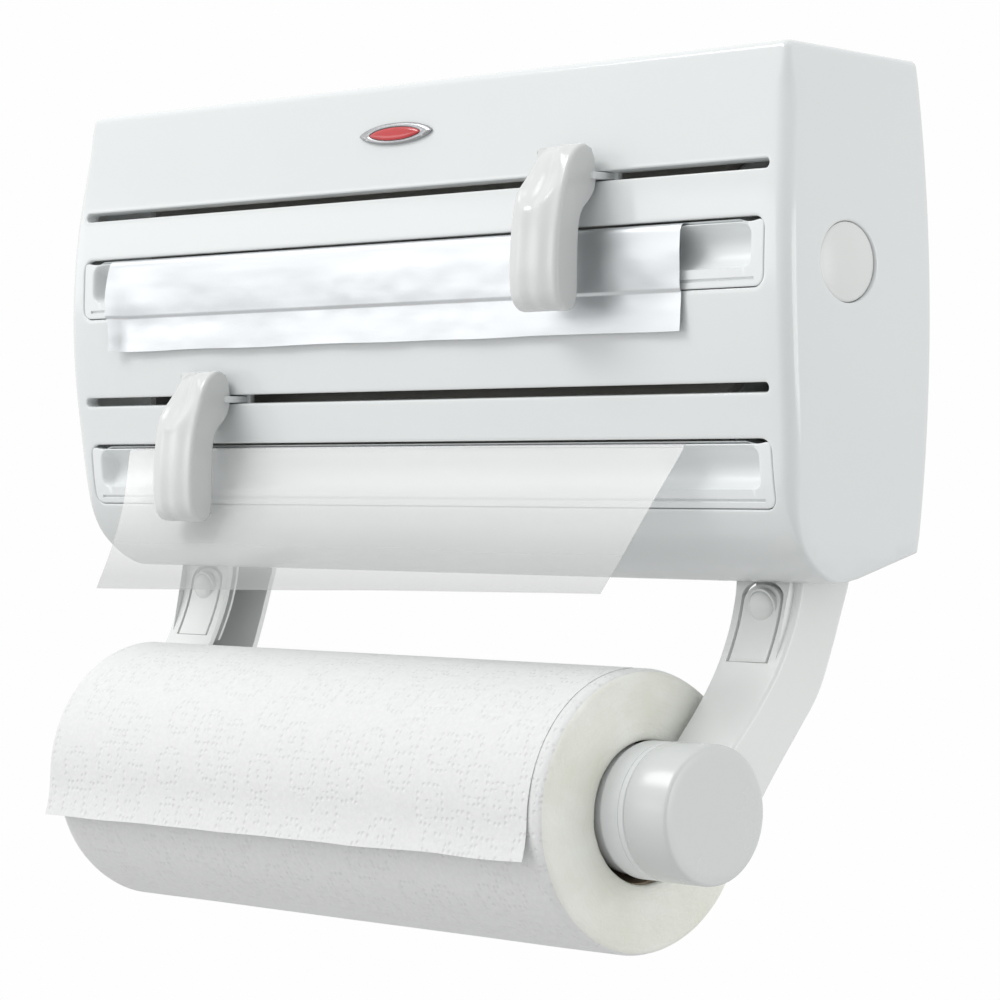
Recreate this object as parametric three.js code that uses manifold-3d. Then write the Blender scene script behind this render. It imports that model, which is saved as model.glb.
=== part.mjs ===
// Wall-mounted kitchen roll dispenser: foil and cling film inside a hinged hood, kitchen paper below.
// Millimetres, +Z up, -Y towards the user. The wall is the plane Y = 0, X = 0 is the middle.
import * as THREE from 'three';
import { mergeVertices } from 'three/addons/utils/BufferGeometryUtils.js';
import Module from 'manifold-3d';

const wasm = await Module();
wasm.setup();

// ---------------------------------------------------------------- driving dimensions
const GAP = 0.3; // between touching pieces
const WALL = 2.2; // moulded wall thickness

const HOOD_HALF = 181.5; // half width at the top and bottom edges
const HOOD_BARREL = 6.5; // how far each side bulges at mid height
const HOOD_HALF_HEIGHT = 85;
const HOOD_CORNER = 5.5; // radius between the front and the sides
const HOOD_REAR = -4.5; // the hood stops short of the wall, so that it clears it when it opens

const PIVOT = { y: -8, z: 76.5 }; // hood hinge
const EAR_X = 143;
const EAR_WIDTH = 6;
const KNUCKLE_WIDTH = 5.6;
const PIN_RADIUS = 1.5;

const SLOT_HALF = 178.5; // cutter slots
const SLOT_HEIGHT = 3.2;
const UPPER_SLOT_Z = 47;
const LOWER_SLOT_Z = -23.2;

const WINDOW_HALF = 178; // tray windows
const WINDOW_HEIGHT = 22.5;
const WINDOW_CORNER = 4.5;
const UPPER_WINDOW_Z = 19.35;
const LOWER_WINDOW_Z = -50.45;
const TRAY_HALF = 170; // trough and sheet exit
const TRAY_DEPTH = 10;

const BUTTON = { y: -42.6, z: 16.6, radius: 12.8, stem: 4, head: 5.4 };
const BUTTON_FLOOR = 174; // inner end of the cup that guides a side button

const PLATE = { half: 172, bottom: -72, top: 68, thickness: 3 };
const CHEEK = { inner: 161, thickness: 3, front: -50, bottom: -56, top: 66 };
const SCREW_HOLE = { x: 110, z: 52, radius: 2.6 };

const FOIL = { y: -36, z: 36, left: -157, right: 143, radius: 20, coreOuter: 14.6, coreInner: 13.2 };
const FILM = { y: -35, z: -34, left: -153, right: 142, radius: 18, coreOuter: 13.6, coreInner: 12.2 };
const STUB_RADIUS = 4.8;
const STUB_END = 168; // how far out the stub axles reach, past the cheeks

const HEAD = { y: -74.2, z: -158, radius: 22.5, inner: 141, outer: 160 };
const ROLL_DROP = 1; // the paper roll hangs this far below the plugs' axis
const PAPER = { radius: 46.4, half: 130, coreOuter: 24.1, coreInner: 23 };
const PLUG = { radius: 21.2, lip: 22.3, lipFrom: 130.6, tip: 120 };

const ARM = { inner: 133, outerTop: 162, outerLow: 157.5, top: -57.3, rear: -3.4 };
const LATCH = { x: 145.4, half: 8.1, top: -86, root: -111, button: -93.4, buttonX: 146 };
const SOCKET = { inner: 129, outer: 178, front: -39.4, bottom: -69, top: -55, wall: 2 };

const CUTTER = { width: 24, upperX: 91.4, lowerX: -100.2, stemHalf: 10, shoeHalf: 15 };

const TAU = 2 * Math.PI;

// ---------------------------------------------------------------- outlines, as (Y, Z) pairs
const pairs = (list) => list.map(([y, z]) => new THREE.Vector2(y, z));

// The hood's side view from the top rear corner, over the front, to the bottom rear corner.
const hoodFront = new THREE.SplineCurve(pairs([
  [-64.6, 83], [-67.6, 62], [-70.4, 38], [-71.5, 12], [-70.6, -12], [-68.4, -36], [-66.1, -57],
  [-61.5, -69.3], [-54.8, -77.6], [-47.5, -82.8], [-40.3, -85.2], [-31, -83.8],
])).getPoints(22);
const HOOD_OUTLINE = [
  ...pairs([[HOOD_REAR, 83.1], [-61.6, 86], [-63.6, 85.2]]),
  ...hoodFront,
  ...pairs([[HOOD_REAR, -76]]),
];

// One arm's side view, from the foot down the front edge to the boss, then up the rear edge.
const ARM_OUTLINE = pairs([
  [ARM.rear, ARM.top], [-36.7, ARM.top], [-36.9, -85.6], [-38.3, -93.9], [-41.2, -102.9],
  [-46.5, -113.8], [-54.7, -125.3], [-65.4, -137.4], [HEAD.y, HEAD.z], [-51.8, -158],
  [-50, -154], [-42.4, -144], [-34, -133.2], [-25.6, -121.6], [-20.3, -108.3], [-16.1, -95],
  [-13.1, -85], [-12.8, -66.8], [ARM.rear, -66.8],
]);

// A cutter's side view, measured from its slot's height.
const CUTTER_OUTLINE = pairs([
  [-74.2, 9.4], [-77.5, 10.6], [-81.2, 9.4], [-84.3, 5], [-86.6, -1], [-88.6, -8], [-90.2, -16],
  [-91.2, -25], [-91.4, -34], [-90.4, -40.5], [-87.6, -44], [-83.6, -44.5], [-80.8, -42.5],
  [-80.1, -37.5], [-79.9, -24], [-79, -15], [-77.6, -11], [-74.2, -7.8], [-71.9, -4.6],
  [-71.2, -0.5], [-71.9, 4.6],
]);

// Moves a closed outline inwards by a distance, or outwards where it is negative.
function inset(points, distance) {
  const turn = THREE.ShapeUtils.area(points) > 0 ? 1 : -1;
  const count = points.length;
  return points.map((point, i) => {
    const before = point.clone().sub(points[(i + count - 1) % count]).normalize();
    const after = points[(i + 1) % count].clone().sub(point).normalize();
    const bisector = before.clone().add(after).normalize();
    const stretch = 1 / Math.max(0.5, bisector.dot(after));
    const normal = new THREE.Vector2(-bisector.y, bisector.x);
    return point.clone().addScaledVector(normal, turn * distance * stretch);
  });
}

// ---------------------------------------------------------------- geometry helpers
function closedGeometry(positions, triangles) {
  const geometry = new THREE.BufferGeometry();
  geometry.setAttribute('position', new THREE.Float32BufferAttribute(positions, 3));
  geometry.setIndex(triangles);
  return volumeOf(geometry) < 0 ? flipped(geometry) : geometry;
}

function volumeOf(geometry) {
  const position = geometry.getAttribute('position');
  const index = geometry.getIndex().array;
  const [a, b, c] = [new THREE.Vector3(), new THREE.Vector3(), new THREE.Vector3()];
  let total = 0;
  for (let i = 0; i < index.length; i += 3) {
    a.fromBufferAttribute(position, index[i]);
    b.fromBufferAttribute(position, index[i + 1]);
    c.fromBufferAttribute(position, index[i + 2]);
    total += a.dot(b.cross(c));
  }
  return total / 6;
}

function flipped(geometry) {
  const index = geometry.getIndex().array;
  for (let i = 0; i < index.length; i += 3) {
    [index[i + 1], index[i + 2]] = [index[i + 2], index[i + 1]];
  }
  return geometry;
}

function solid(geometry) {
  const bare = geometry.clone();
  bare.deleteAttribute('normal');
  bare.deleteAttribute('uv');
  const merged = mergeVertices(bare, 1e-4);
  const vertProperties = new Float32Array(merged.getAttribute('position').array);
  const triVerts = new Uint32Array(merged.getIndex().array);
  return new wasm.Manifold(new wasm.Mesh({ numProp: 3, vertProperties, triVerts }));
}

function shapeOf(result) {
  const mesh = result.getMesh();
  const geometry = new THREE.BufferGeometry();
  geometry.setAttribute('position', new THREE.BufferAttribute(new Float32Array(mesh.vertProperties), 3));
  geometry.setIndex(new THREE.BufferAttribute(new Uint32Array(mesh.triVerts), 1));
  return geometry;
}

const joined = (base, ...others) => others.reduce((sum, next) => sum.add(solid(next)), solid(base));
const cutFrom = (body, ...tools) => tools.reduce((rest, tool) => rest.subtract(solid(tool)), body);

function block(x0, x1, y0, y1, z0, z1) {
  const geometry = new THREE.BoxGeometry(x1 - x0, y1 - y0, z1 - z0);
  return geometry.translate((x0 + x1) / 2, (y0 + y1) / 2, (z0 + z1) / 2);
}

// A side view of (Y, Z) points, extruded from x0 to x1, with edges rounded by a bevel.
function sideExtrusion(points, x0, x1, bevel = 0) {
  const geometry = new THREE.ExtrudeGeometry(new THREE.Shape(points), {
    depth: x1 - x0 - 2 * bevel,
    bevelEnabled: bevel > 0,
    bevelThickness: bevel,
    bevelSize: bevel,
    bevelOffset: -bevel,
    bevelSegments: 2,
  });
  geometry.applyMatrix4(new THREE.Matrix4().set(0, 0, 1, 0, 1, 0, 0, 0, 0, 1, 0, 0, 0, 0, 0, 1));
  return geometry.translate(x0 + bevel, 0, 0);
}

// A front view with round corners, extruded from the rear plane y1 forwards to y0.
function frontBar(halfWidth, height, corner, z, y0, y1, x = 0) {
  const shape = new THREE.Shape();
  const w = halfWidth - corner;
  const h = height / 2 - corner;
  shape.absarc(w, h, corner, 0, TAU / 4);
  shape.absarc(-w, h, corner, TAU / 4, TAU / 2);
  shape.absarc(-w, -h, corner, TAU / 2, 3 * TAU / 4);
  shape.absarc(w, -h, corner, 3 * TAU / 4, TAU);
  const settings = { depth: y1 - y0, bevelEnabled: false, curveSegments: 4 };
  const geometry = new THREE.ExtrudeGeometry(shape, settings);
  return geometry.rotateX(TAU / 4).translate(x, y1, z);
}

// Turns a profile of (distance along X, radius) pairs about a line along X.
function turned(profile, y, z, segments = 40) {
  const points = profile.map(([along, radius]) => new THREE.Vector2(radius, along));
  const geometry = new THREE.LatheGeometry(points, segments);
  return indexed(geometry.rotateZ(-TAU / 4).translate(0, y, z));
}

function indexed(geometry) {
  const bare = geometry.clone();
  bare.deleteAttribute('normal');
  bare.deleteAttribute('uv');
  const merged = mergeVertices(bare, 1e-4);
  const index = Array.from(merged.getIndex().array);
  const kept = [];
  for (let i = 0; i < index.length; i += 3) {
    const [a, b, c] = index.slice(i, i + 3);
    if (a !== b && b !== c && c !== a) {
      kept.push(a, b, c);
    }
  }
  return closedGeometry(merged.getAttribute('position').array, kept);
}

function tube(x0, x1, inner, outer, y, z, segments = 40) {
  return turned([[x0, inner], [x0, outer], [x1, outer], [x1, inner], [x0, inner]], y, z, segments);
}

function rod(x0, x1, radius, y, z, segments = 32) {
  return turned([[x0, 0], [x0, radius], [x1, radius], [x1, 0]], y, z, segments);
}

// The same solid on the other side of the middle plane.
function mirrored(geometry) {
  const copy = geometry.clone().scale(-1, 1, 1);
  return flipped(copy);
}

// A thin sheet between two side views, left and right, with the same number of points.
function sheet(left, right, xLeft, xRight, thickness, columns = 1) {
  const rows = left.length;
  const positions = [];
  const backs = [offsetLine(left, thickness), offsetLine(right, thickness)];
  for (const [from, to] of [[left, right], backs]) {
    for (let c = 0; c <= columns; c += 1) {
      const t = c / columns;
      for (let r = 0; r < rows; r += 1) {
        const point = from[r].clone().lerp(to[r], t);
        positions.push(xLeft + (xRight - xLeft) * t, point.x, point.y);
      }
    }
  }
  const at = (side, c, r) => side * (columns + 1) * rows + c * rows + r;
  const triangles = [];
  const quad = (a, b, c, d) => triangles.push(a, b, c, a, c, d);
  for (let c = 0; c < columns; c += 1) {
    for (let r = 0; r < rows - 1; r += 1) {
      quad(at(0, c, r), at(0, c, r + 1), at(0, c + 1, r + 1), at(0, c + 1, r));
      quad(at(1, c, r), at(1, c + 1, r), at(1, c + 1, r + 1), at(1, c, r + 1));
    }
    quad(at(0, c, 0), at(0, c + 1, 0), at(1, c + 1, 0), at(1, c, 0));
    const last = rows - 1;
    quad(at(0, c, last), at(1, c, last), at(1, c + 1, last), at(0, c + 1, last));
  }
  for (let r = 0; r < rows - 1; r += 1) {
    quad(at(0, 0, r), at(1, 0, r), at(1, 0, r + 1), at(0, 0, r + 1));
    quad(at(0, columns, r), at(0, columns, r + 1), at(1, columns, r + 1), at(1, columns, r));
  }
  return closedGeometry(positions, triangles);
}

// Moves an open line of (Y, Z) points sideways by a distance.
function offsetLine(points, distance) {
  return points.map((point, i) => {
    const from = points[Math.max(0, i - 1)];
    const to = points[Math.min(points.length - 1, i + 1)];
    const along = to.clone().sub(from).normalize();
    return point.clone().add(new THREE.Vector2(-along.y, along.x).multiplyScalar(distance));
  });
}

// ---------------------------------------------------------------- hood
const hoodHalfWidth = (z) => HOOD_HALF + HOOD_BARREL * (1 - (z / HOOD_HALF_HEIGHT) ** 2);

// The hood's outer form, shrunk by a distance and reaching back to rearY, as one closed solid.
function hoodForm(shrink, rearY = null) {
  const steps = 3;
  const rings = [];
  for (let side = -1; side <= 1; side += 2) {
    for (let k = 0; k <= steps; k += 1) {
      const share = side < 0 ? steps - k : k;
      const angle = (TAU / 4) * (share / steps);
      const sideways = shrink + HOOD_CORNER * (1 - Math.sin(angle));
      const inwards = shrink + HOOD_CORNER * (1 - Math.cos(angle));
      rings.push(hoodRing(side, sideways, inwards, rearY));
    }
  }
  const count = rings[0].length;
  const rear = count - 1;
  const triangles = [];
  for (let i = 0; i < rings.length - 1; i += 1) {
    for (let j = 0; j < count; j += 1) {
      const next = (j + 1) % count;
      const [a, b, c, d] = [i * count + j, i * count + next, (i + 1) * count + next, (i + 1) * count + j];
      triangles.push(a, b, c, a, c, d);
    }
  }
  for (const [ring, order] of [[0, 1], [rings.length - 1, -1]]) {
    const base = ring * count;
    for (let j = 0; j < rear - 1; j += 1) {
      const face = [base + rear, base + j + 1, base + j];
      triangles.push(...(order > 0 ? face : face.reverse()));
    }
  }
  return closedGeometry(rings.flat().flatMap((v) => [v.x, v.y, v.z]), triangles);
}

function hoodRing(side, sideways, inwards, rearY) {
  const outline = inset(HOOD_OUTLINE, inwards);
  const last = outline.length - 1;
  outline[0].x = rearY ?? HOOD_REAR;
  outline[last].x = rearY ?? HOOD_REAR;
  outline.push(new THREE.Vector2(rearY ?? HOOD_REAR, 0));
  return outline.map((p) => new THREE.Vector3(side * (hoodHalfWidth(p.y) - sideways), p.x, p.y));
}

function hoodSideDetails(side) {
  const { y, z } = BUTTON;
  const wallX = hoodHalfWidth(z) - WALL - 0.3;
  const bore = BUTTON.radius + 0.5;
  const rim = bore + 1.3;
  const cup = turned([
    [BUTTON_FLOOR, 4.6], [BUTTON_FLOOR, rim], [wallX + 1, rim], [wallX + 1, bore], [BUTTON_FLOOR + 2, bore],
    [BUTTON_FLOOR + 2, 4.6], [BUTTON_FLOOR, 4.6],
  ], y, z, 28);
  const knuckles = [-1, 1].map((way) => {
    const middle = EAR_X + way * (EAR_WIDTH / 2 + 0.4 + KNUCKLE_WIDTH / 2);
    const [x0, x1] = [middle - KNUCKLE_WIDTH / 2, middle + KNUCKLE_WIDTH / 2];
    const web = block(x0, x1, PIVOT.y - 3.2, PIVOT.y + 3.2, PIVOT.z, 82);
    const body = joined(rod(x0, x1, 3.4, PIVOT.y, PIVOT.z, 24), web);
    return shapeOf(cutFrom(body, rod(x0 - 1, x1 + 1, PIN_RADIUS + GAP, PIVOT.y, PIVOT.z, 20)));
  });
  const added = [cup, ...knuckles];
  return side < 0 ? added.map(mirrored) : added;
}

function hoodCuts(side) {
  const hole = rod(BUTTON_FLOOR + 4, 192, BUTTON.radius + 0.35, BUTTON.y, BUTTON.z, 28);
  const stemHole = rod(BUTTON_FLOOR - 1, BUTTON_FLOOR + 4, 4.6, BUTTON.y, BUTTON.z, 28);
  const armNotch = block(131, 176.5, -39.6, 0, -90, -70);
  const earNotch = block(EAR_X - 4.4, EAR_X + 4.4, -13.5, 0, 79, 90);
  const cuts = [hole, stemHole, armNotch, earNotch];
  return side < 0 ? cuts.map(mirrored) : cuts;
}

function makeHoodShell() {
  let shell = solid(hoodForm(0)).subtract(solid(hoodForm(WALL, 5)));
  for (const side of [-1, 1]) {
    shell = hoodSideDetails(side).reduce((sum, next) => sum.add(solid(next)), shell);
    shell = cutFrom(shell, ...hoodCuts(side));
  }
  for (const z of [UPPER_SLOT_Z, LOWER_SLOT_Z]) {
    shell = cutFrom(shell, frontBar(SLOT_HALF, SLOT_HEIGHT, SLOT_HEIGHT / 2 - 0.01, z, -80, -60));
  }
  for (const z of [UPPER_WINDOW_Z, LOWER_WINDOW_Z]) {
    shell = cutFrom(shell, frontBar(WINDOW_HALF, WINDOW_HEIGHT, WINDOW_CORNER, z, -80, -58));
  }
  return shapeOf(shell);
}

// A pan that fills a window: flange behind the hood, trough, cutting groove, and sheet exit on top.
function makeTray(z) {
  const exitZ = z + WINDOW_HEIGHT / 2 - 1.6;
  const troughZ = z + WINDOW_HEIGHT / 2 - 9.4;
  const grooveZ = z - WINDOW_HEIGHT / 2 + 2.9;
  const skin = solid(hoodForm(0.5));
  const behind = solid(hoodForm(WALL + GAP));
  const core = solid(hoodForm(TRAY_DEPTH));
  const front = z > 0 ? -71.2 : -66.8;
  const rear = front + TRAY_DEPTH + 1;
  const pan = frontBar(WINDOW_HALF - 0.4, WINDOW_HEIGHT - 0.8, WINDOW_CORNER - 0.4, z, -80, rear);
  const rim = frontBar(WINDOW_HALF + 1.8, WINDOW_HEIGHT + 5, WINDOW_CORNER, z, -80, rear);
  const plug = skin.intersect(solid(pan));
  const flange = behind.subtract(solid(hoodForm(WALL + GAP + 1.6))).intersect(solid(rim));
  const trough = frontBar(TRAY_HALF, 12.4, 6.1, troughZ, -80, front + TRAY_DEPTH - 3.2);
  const exit = frontBar(TRAY_HALF, 2.6, 1.29, exitZ, -80, -50);
  const groove = block(-TRAY_HALF, TRAY_HALF, -80, front + 2.4, grooveZ - 0.6, grooveZ + 0.6);
  return shapeOf(cutFrom(plug.add(flange).subtract(core), trough, exit, groove));
}

function makeSideButton(side) {
  const { y, z, radius, stem, head } = BUTTON;
  const face = hoodHalfWidth(z);
  const body = turned([
    [170.6, 0], [170.6, head - 1], [171.4, head], [BUTTON_FLOOR - GAP, head], [BUTTON_FLOOR - GAP, stem],
    [184.4, stem], [184.4, radius], [face - 0.9, radius], [face - 0.2, radius - 1], [face + 0.1, 0],
  ], y, z, 28);
  return side < 0 ? mirrored(body) : body;
}

class CoilPath extends THREE.Curve {
  constructor(radius, turns, x0, x1, y, z) {
    super();
    Object.assign(this, { radius, turns, x0, x1, y, z });
  }

  getPoint(t, target = new THREE.Vector3()) {
    const angle = t * this.turns * TAU;
    const x = this.x0 + (this.x1 - this.x0) * t;
    return target.set(x, this.y + this.radius * Math.cos(angle), this.z + this.radius * Math.sin(angle));
  }
}

function makeButtonSpring(side) {
  const wire = 0.5;
  const path = new CoilPath(8, 3, BUTTON_FLOOR + 2.9, 183.5, BUTTON.y, BUTTON.z);
  const section = new THREE.Shape();
  section.absarc(0, 0, wire, 0, TAU);
  const coil = new THREE.ExtrudeGeometry(section, { steps: 36, extrudePath: path, curveSegments: 3 });
  return side < 0 ? mirrored(indexed(coil)) : indexed(coil);
}

// ---------------------------------------------------------------- badge
function ovalShape(halfLength, halfHeight) {
  const shape = new THREE.Shape();
  shape.moveTo(-halfLength, 0);
  shape.quadraticCurveTo(-halfLength * 0.55, -halfHeight * 1.05, 0, -halfHeight);
  shape.quadraticCurveTo(halfLength * 0.55, -halfHeight * 1.05, halfLength, 0);
  shape.quadraticCurveTo(halfLength * 0.55, halfHeight * 1.05, 0, halfHeight);
  shape.quadraticCurveTo(-halfLength * 0.55, halfHeight * 1.05, -halfLength, 0);
  return shape;
}

// A flat oval on the hood's front, from one distance in front of the surface to another.
function badgePlate(halfLength, halfHeight, from, to) {
  const shape = ovalShape(halfLength, halfHeight);
  const plate = new THREE.ExtrudeGeometry(shape, { depth: to - from, bevelEnabled: false, curveSegments: 6 });
  plate.rotateX(TAU / 4).translate(0, -from, 0);
  return plate.rotateX(-0.15).translate(0, -66.8, 68);
}

// ---------------------------------------------------------------- back frame
function makeBackFrame() {
  const { half, bottom, top, thickness } = PLATE;
  let frame = solid(block(-half, half, -thickness, 0, bottom, top));
  for (const side of [-1, 1]) {
    const place = (geometry) => (side < 0 ? mirrored(geometry) : geometry);
    frame = frame.add(solid(place(cheek()))).add(solid(place(hingeEar()))).add(solid(place(armSocket())));
    frame = frame.subtract(solid(place(screwHole())));
  }
  return shapeOf(frame);
}

// A side plate with two slots, open to the front, that carry the stub axles of the foil and film.
function cheek() {
  const x0 = CHEEK.inner;
  const x1 = CHEEK.inner + CHEEK.thickness;
  const plate = solid(block(x0, x1, CHEEK.front, -PLATE.thickness + 1, CHEEK.bottom, CHEEK.top));
  const reach = STUB_RADIUS + 0.5;
  const tools = [FOIL, FILM].flatMap(({ y, z }) => [
    rod(x0 - 1, x1 + 1, reach, y, z, 24),
    block(x0 - 1, x1 + 1, CHEEK.front - 1, y, z - reach, z + reach),
  ]);
  return shapeOf(cutFrom(plate, ...tools));
}

function hingeEar() {
  const x0 = EAR_X - EAR_WIDTH / 2;
  const x1 = EAR_X + EAR_WIDTH / 2;
  const neckOutline = pairs([[0, 56], [0, 70], [-4.6, 76.5], [-11.4, 76.5], [-10, 70], [-3, 60]]);
  const neck = sideExtrusion(neckOutline, x0, x1);
  const ear = joined(rod(x0, x1, 3.5, PIVOT.y, PIVOT.z, 24), neck);
  return shapeOf(cutFrom(ear, rod(x0 - 1, x1 + 1, PIN_RADIUS + GAP, PIVOT.y, PIVOT.z, 20)));
}

// A short rail under the film roll, open below, in which one arm's foot slides sideways.
function armSocket() {
  const { inner, outer, front, bottom, top, wall } = SOCKET;
  const lipTop = bottom + 1.9;
  const shell = solid(block(inner, outer, front, -PLATE.thickness + 1, bottom, top));
  const cavity = block(inner + wall, outer - wall, front + wall, -PLATE.thickness, lipTop, top - wall);
  const mouth = block(inner + wall, outer - wall, front + wall, -12.4, bottom - 1, lipTop + 1);
  return shapeOf(cutFrom(shell, cavity, mouth));
}

function screwHole() {
  const hole = rod(-PLATE.thickness - 1, 1, SCREW_HOLE.radius, 0, 0, 20);
  return hole.rotateZ(TAU / 4).translate(SCREW_HOLE.x, 0, SCREW_HOLE.z);
}

function makeHingePin(side) {
  const reach = EAR_WIDTH / 2 + 0.4 + KNUCKLE_WIDTH - 0.3;
  const pin = rod(EAR_X - reach, EAR_X + reach, PIN_RADIUS, PIVOT.y, PIVOT.z, 20);
  return side < 0 ? mirrored(pin) : pin;
}

// ---------------------------------------------------------------- cutters
function makeCutterBody(x, z) {
  const half = CUTTER.width / 2;
  const outline = CUTTER_OUTLINE.map((p) => new THREE.Vector2(p.x, p.y + z));
  const body = solid(sideExtrusion(outline, x - half, x + half, 1.6));
  const pocketHalf = CUTTER.stemHalf + 0.4;
  const stemPocket = block(x - pocketHalf, x + pocketHalf, -78.4, -70, z - 1.5, z + 1.5);
  const bladePocket = block(x - 0.6, x + 0.6, -86.4, -78, z - 41.4, z - 30.6);
  return shapeOf(cutFrom(body, stemPocket, bladePocket));
}

function makeCutterBlade(x, z) {
  const outline = pairs([[-86, -31], [-80.2, -31], [-76.4, -35.9], [-76.4, -36.3], [-80.2, -41], [-86, -41]]);
  return sideExtrusion(outline.map((p) => new THREE.Vector2(p.x, p.y + z)), x - 0.3, x + 0.3);
}

// The slider: a flat stem through the slot, and a shoe behind the hood's front wall.
function makeCutterSlider(x, z) {
  const { stemHalf, shoeHalf } = CUTTER;
  const stem = block(x - stemHalf, x + stemHalf, -78, -65, z - 1.2, z + 1.2);
  const shoe = block(x - shoeHalf, x + shoeHalf, -66.6, -62.6, z - 5, z + 5);
  return shapeOf(joined(stem, shoe));
}

// ---------------------------------------------------------------- rolls
function makeSpoolCore(spool) {
  return tube(spool.left + GAP, spool.right - GAP, spool.coreInner, spool.coreOuter, spool.y, spool.z, 28);
}

function makeSpoolRoll(spool) {
  return tube(spool.left, spool.right, spool.coreOuter + GAP, spool.radius, spool.y, spool.z, 32);
}

// An end plug: a spigot in the core, a flange against its end and a stub axle in the cheek.
function makeSpoolPlug(spool, side) {
  const end = side < 0 ? -spool.left : spool.right;
  const spigot = spool.coreInner - GAP;
  const plug = turned([
    [end - 12, 0], [end - 12, spigot - 1], [end - 11, spigot], [end + GAP, spigot],
    [end + GAP, spool.coreOuter + 1.4], [end + GAP + 2.2, spool.coreOuter + 1.4],
    [end + GAP + 2.2, STUB_RADIUS], [STUB_END, STUB_RADIUS], [STUB_END, 0],
  ], spool.y, spool.z, 24);
  return side < 0 ? mirrored(plug) : plug;
}

const ROLL_Z = HEAD.z - ROLL_DROP;

function makePaperCore() {
  return tube(-PAPER.half + GAP, PAPER.half - GAP, PAPER.coreInner, PAPER.coreOuter, HEAD.y, ROLL_Z, 32);
}

function makePaperRoll() {
  return tube(-PAPER.half, PAPER.half, PAPER.coreOuter + GAP, PAPER.radius, HEAD.y, ROLL_Z, 40);
}

// ---------------------------------------------------------------- sheets
// The paper's loose end lies on the roll from its top to its front, then hangs straight.
function makePaperTail() {
  const radius = PAPER.radius + GAP + 0.6;
  const line = [];
  const steps = 12;
  for (let i = 0; i <= steps; i += 1) {
    const angle = (TAU / 4) * (1 + i / steps);
    line.push(new THREE.Vector2(HEAD.y + radius * Math.cos(angle), ROLL_Z + radius * Math.sin(angle)));
  }
  line.push(new THREE.Vector2(HEAD.y - radius, ROLL_Z - 14.5));
  return sheet(line, line, -131.6, 123, 0.6);
}

function makeFoilSheet() {
  const line = pairs([[-64, 28.9], [-70.4, 29], [-72.4, 27.2], [-72.7, 20], [-72.9, 8], [-72.6, -4.5]]);
  return sheet(line, line, FOIL.left, FOIL.right, 0.5);
}

// The cling film comes out of its exit and swings forward as it hangs, further on the right.
function makeFilmSheet() {
  const start = [[-61, -40.9], [-67.2, -40.8], [-69.4, -42]];
  const left = pairs([...start, [-72.2, -62], [-85, -93]]);
  const right = pairs([...start, [-84.8, -62], [-105.5, -88]]);
  return sheet(left, right, -151.4, 140.2, -0.5, 8);
}

// ---------------------------------------------------------------- arms
// Narrows a piece of an arm towards its lower end, keeping its inner side upright.
function tapered(geometry) {
  const position = geometry.getAttribute('position');
  const full = ARM.outerTop - ARM.inner;
  for (let i = 0; i < position.count; i += 1) {
    const share = THREE.MathUtils.clamp((-85 - position.getZ(i)) / 73, 0, 1);
    const width = full - share * (ARM.outerTop - ARM.outerLow);
    position.setX(i, ARM.inner + (position.getX(i) - ARM.inner) * (width / full));
  }
  return geometry;
}

function makeArm(side) {
  const outer = tapered(sideExtrusion(ARM_OUTLINE, ARM.inner, ARM.outerTop, 0));
  const channel = tapered(sideExtrusion(inset(ARM_OUTLINE, WALL), ARM.inner - 2, ARM.outerTop - WALL, 0));
  const plugRoom = rod(ARM.inner - 4, HEAD.inner + 0.5, PLUG.lip + 0.5, HEAD.y, HEAD.z, 36);
  const boss = rod(HEAD.inner + 0.5, ARM.outerLow - 0.3, HEAD.radius - 2.4, HEAD.y, HEAD.z, 36);
  const { x, half, top, root } = LATCH;
  const opening = block(x - half - 1.2, x + half + 1.2, -60, -30, root - GAP, top + 1.4);
  const hollow = cutFrom(solid(outer), channel, plugRoom).add(solid(boss));
  const arm = shapeOf(cutFrom(hollow, opening));
  return side < 0 ? mirrored(arm) : arm;
}

// The latch: a tongue in the arm's front wall, free on three sides, with a round button on it.
function makeArmLatch(side) {
  const { x, half, top, root, button, buttonX } = LATCH;
  const wall = solid(tapered(sideExtrusion(ARM_OUTLINE, ARM.inner, ARM.outerTop)))
    .subtract(solid(tapered(sideExtrusion(inset(ARM_OUTLINE, 1.8), ARM.inner - 2, ARM.outerTop + 2))));
  const middle = (top + root) / 2;
  const tongue = wall.intersect(solid(frontBar(half, top - root, 3.5, middle, -60, -30, x)));
  const dome = new THREE.SphereGeometry(5.9, 18, 8).scale(1, 0.4, 1).translate(buttonX, -38.4, button);
  const latch = shapeOf(tongue.add(solid(dome)));
  return side < 0 ? mirrored(latch) : latch;
}

// The round cap over the arm's boss, cut away where the arm comes in.
function makeHead(side) {
  const { y, z, radius, inner, outer } = HEAD;
  const cap = turned([
    [inner + 0.4, radius - WALL + 0.1], [inner + 0.4, radius], [outer - 0.8, radius], [outer, radius - 0.8],
    [outer, 0], [outer - 2.2, 0], [outer - 2.2, radius - WALL + 0.1], [inner + 0.4, radius - WALL + 0.1],
  ], y, z, 36);
  const entry = tapered(sideExtrusion(inset(ARM_OUTLINE, -0.4), ARM.inner - 2, ARM.outerTop + 0.3));
  const head = shapeOf(cutFrom(solid(cap), entry));
  return side < 0 ? mirrored(head) : head;
}

// The plug that the paper roll turns on, with a lip against the head.
function makeRollPlug(side) {
  const { radius, lip, lipFrom, tip } = PLUG;
  const end = HEAD.inner + 0.1;
  const plug = turned([
    [tip, 0], [tip, radius - 3], [tip + 3, radius], [lipFrom, radius], [lipFrom, lip - 0.5],
    [lipFrom + 0.5, lip], [end, lip], [end, 0],
  ], HEAD.y, HEAD.z, 32);
  return side < 0 ? mirrored(plug) : plug;
}

// ---------------------------------------------------------------- assembly
const object = new THREE.Group();

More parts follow.
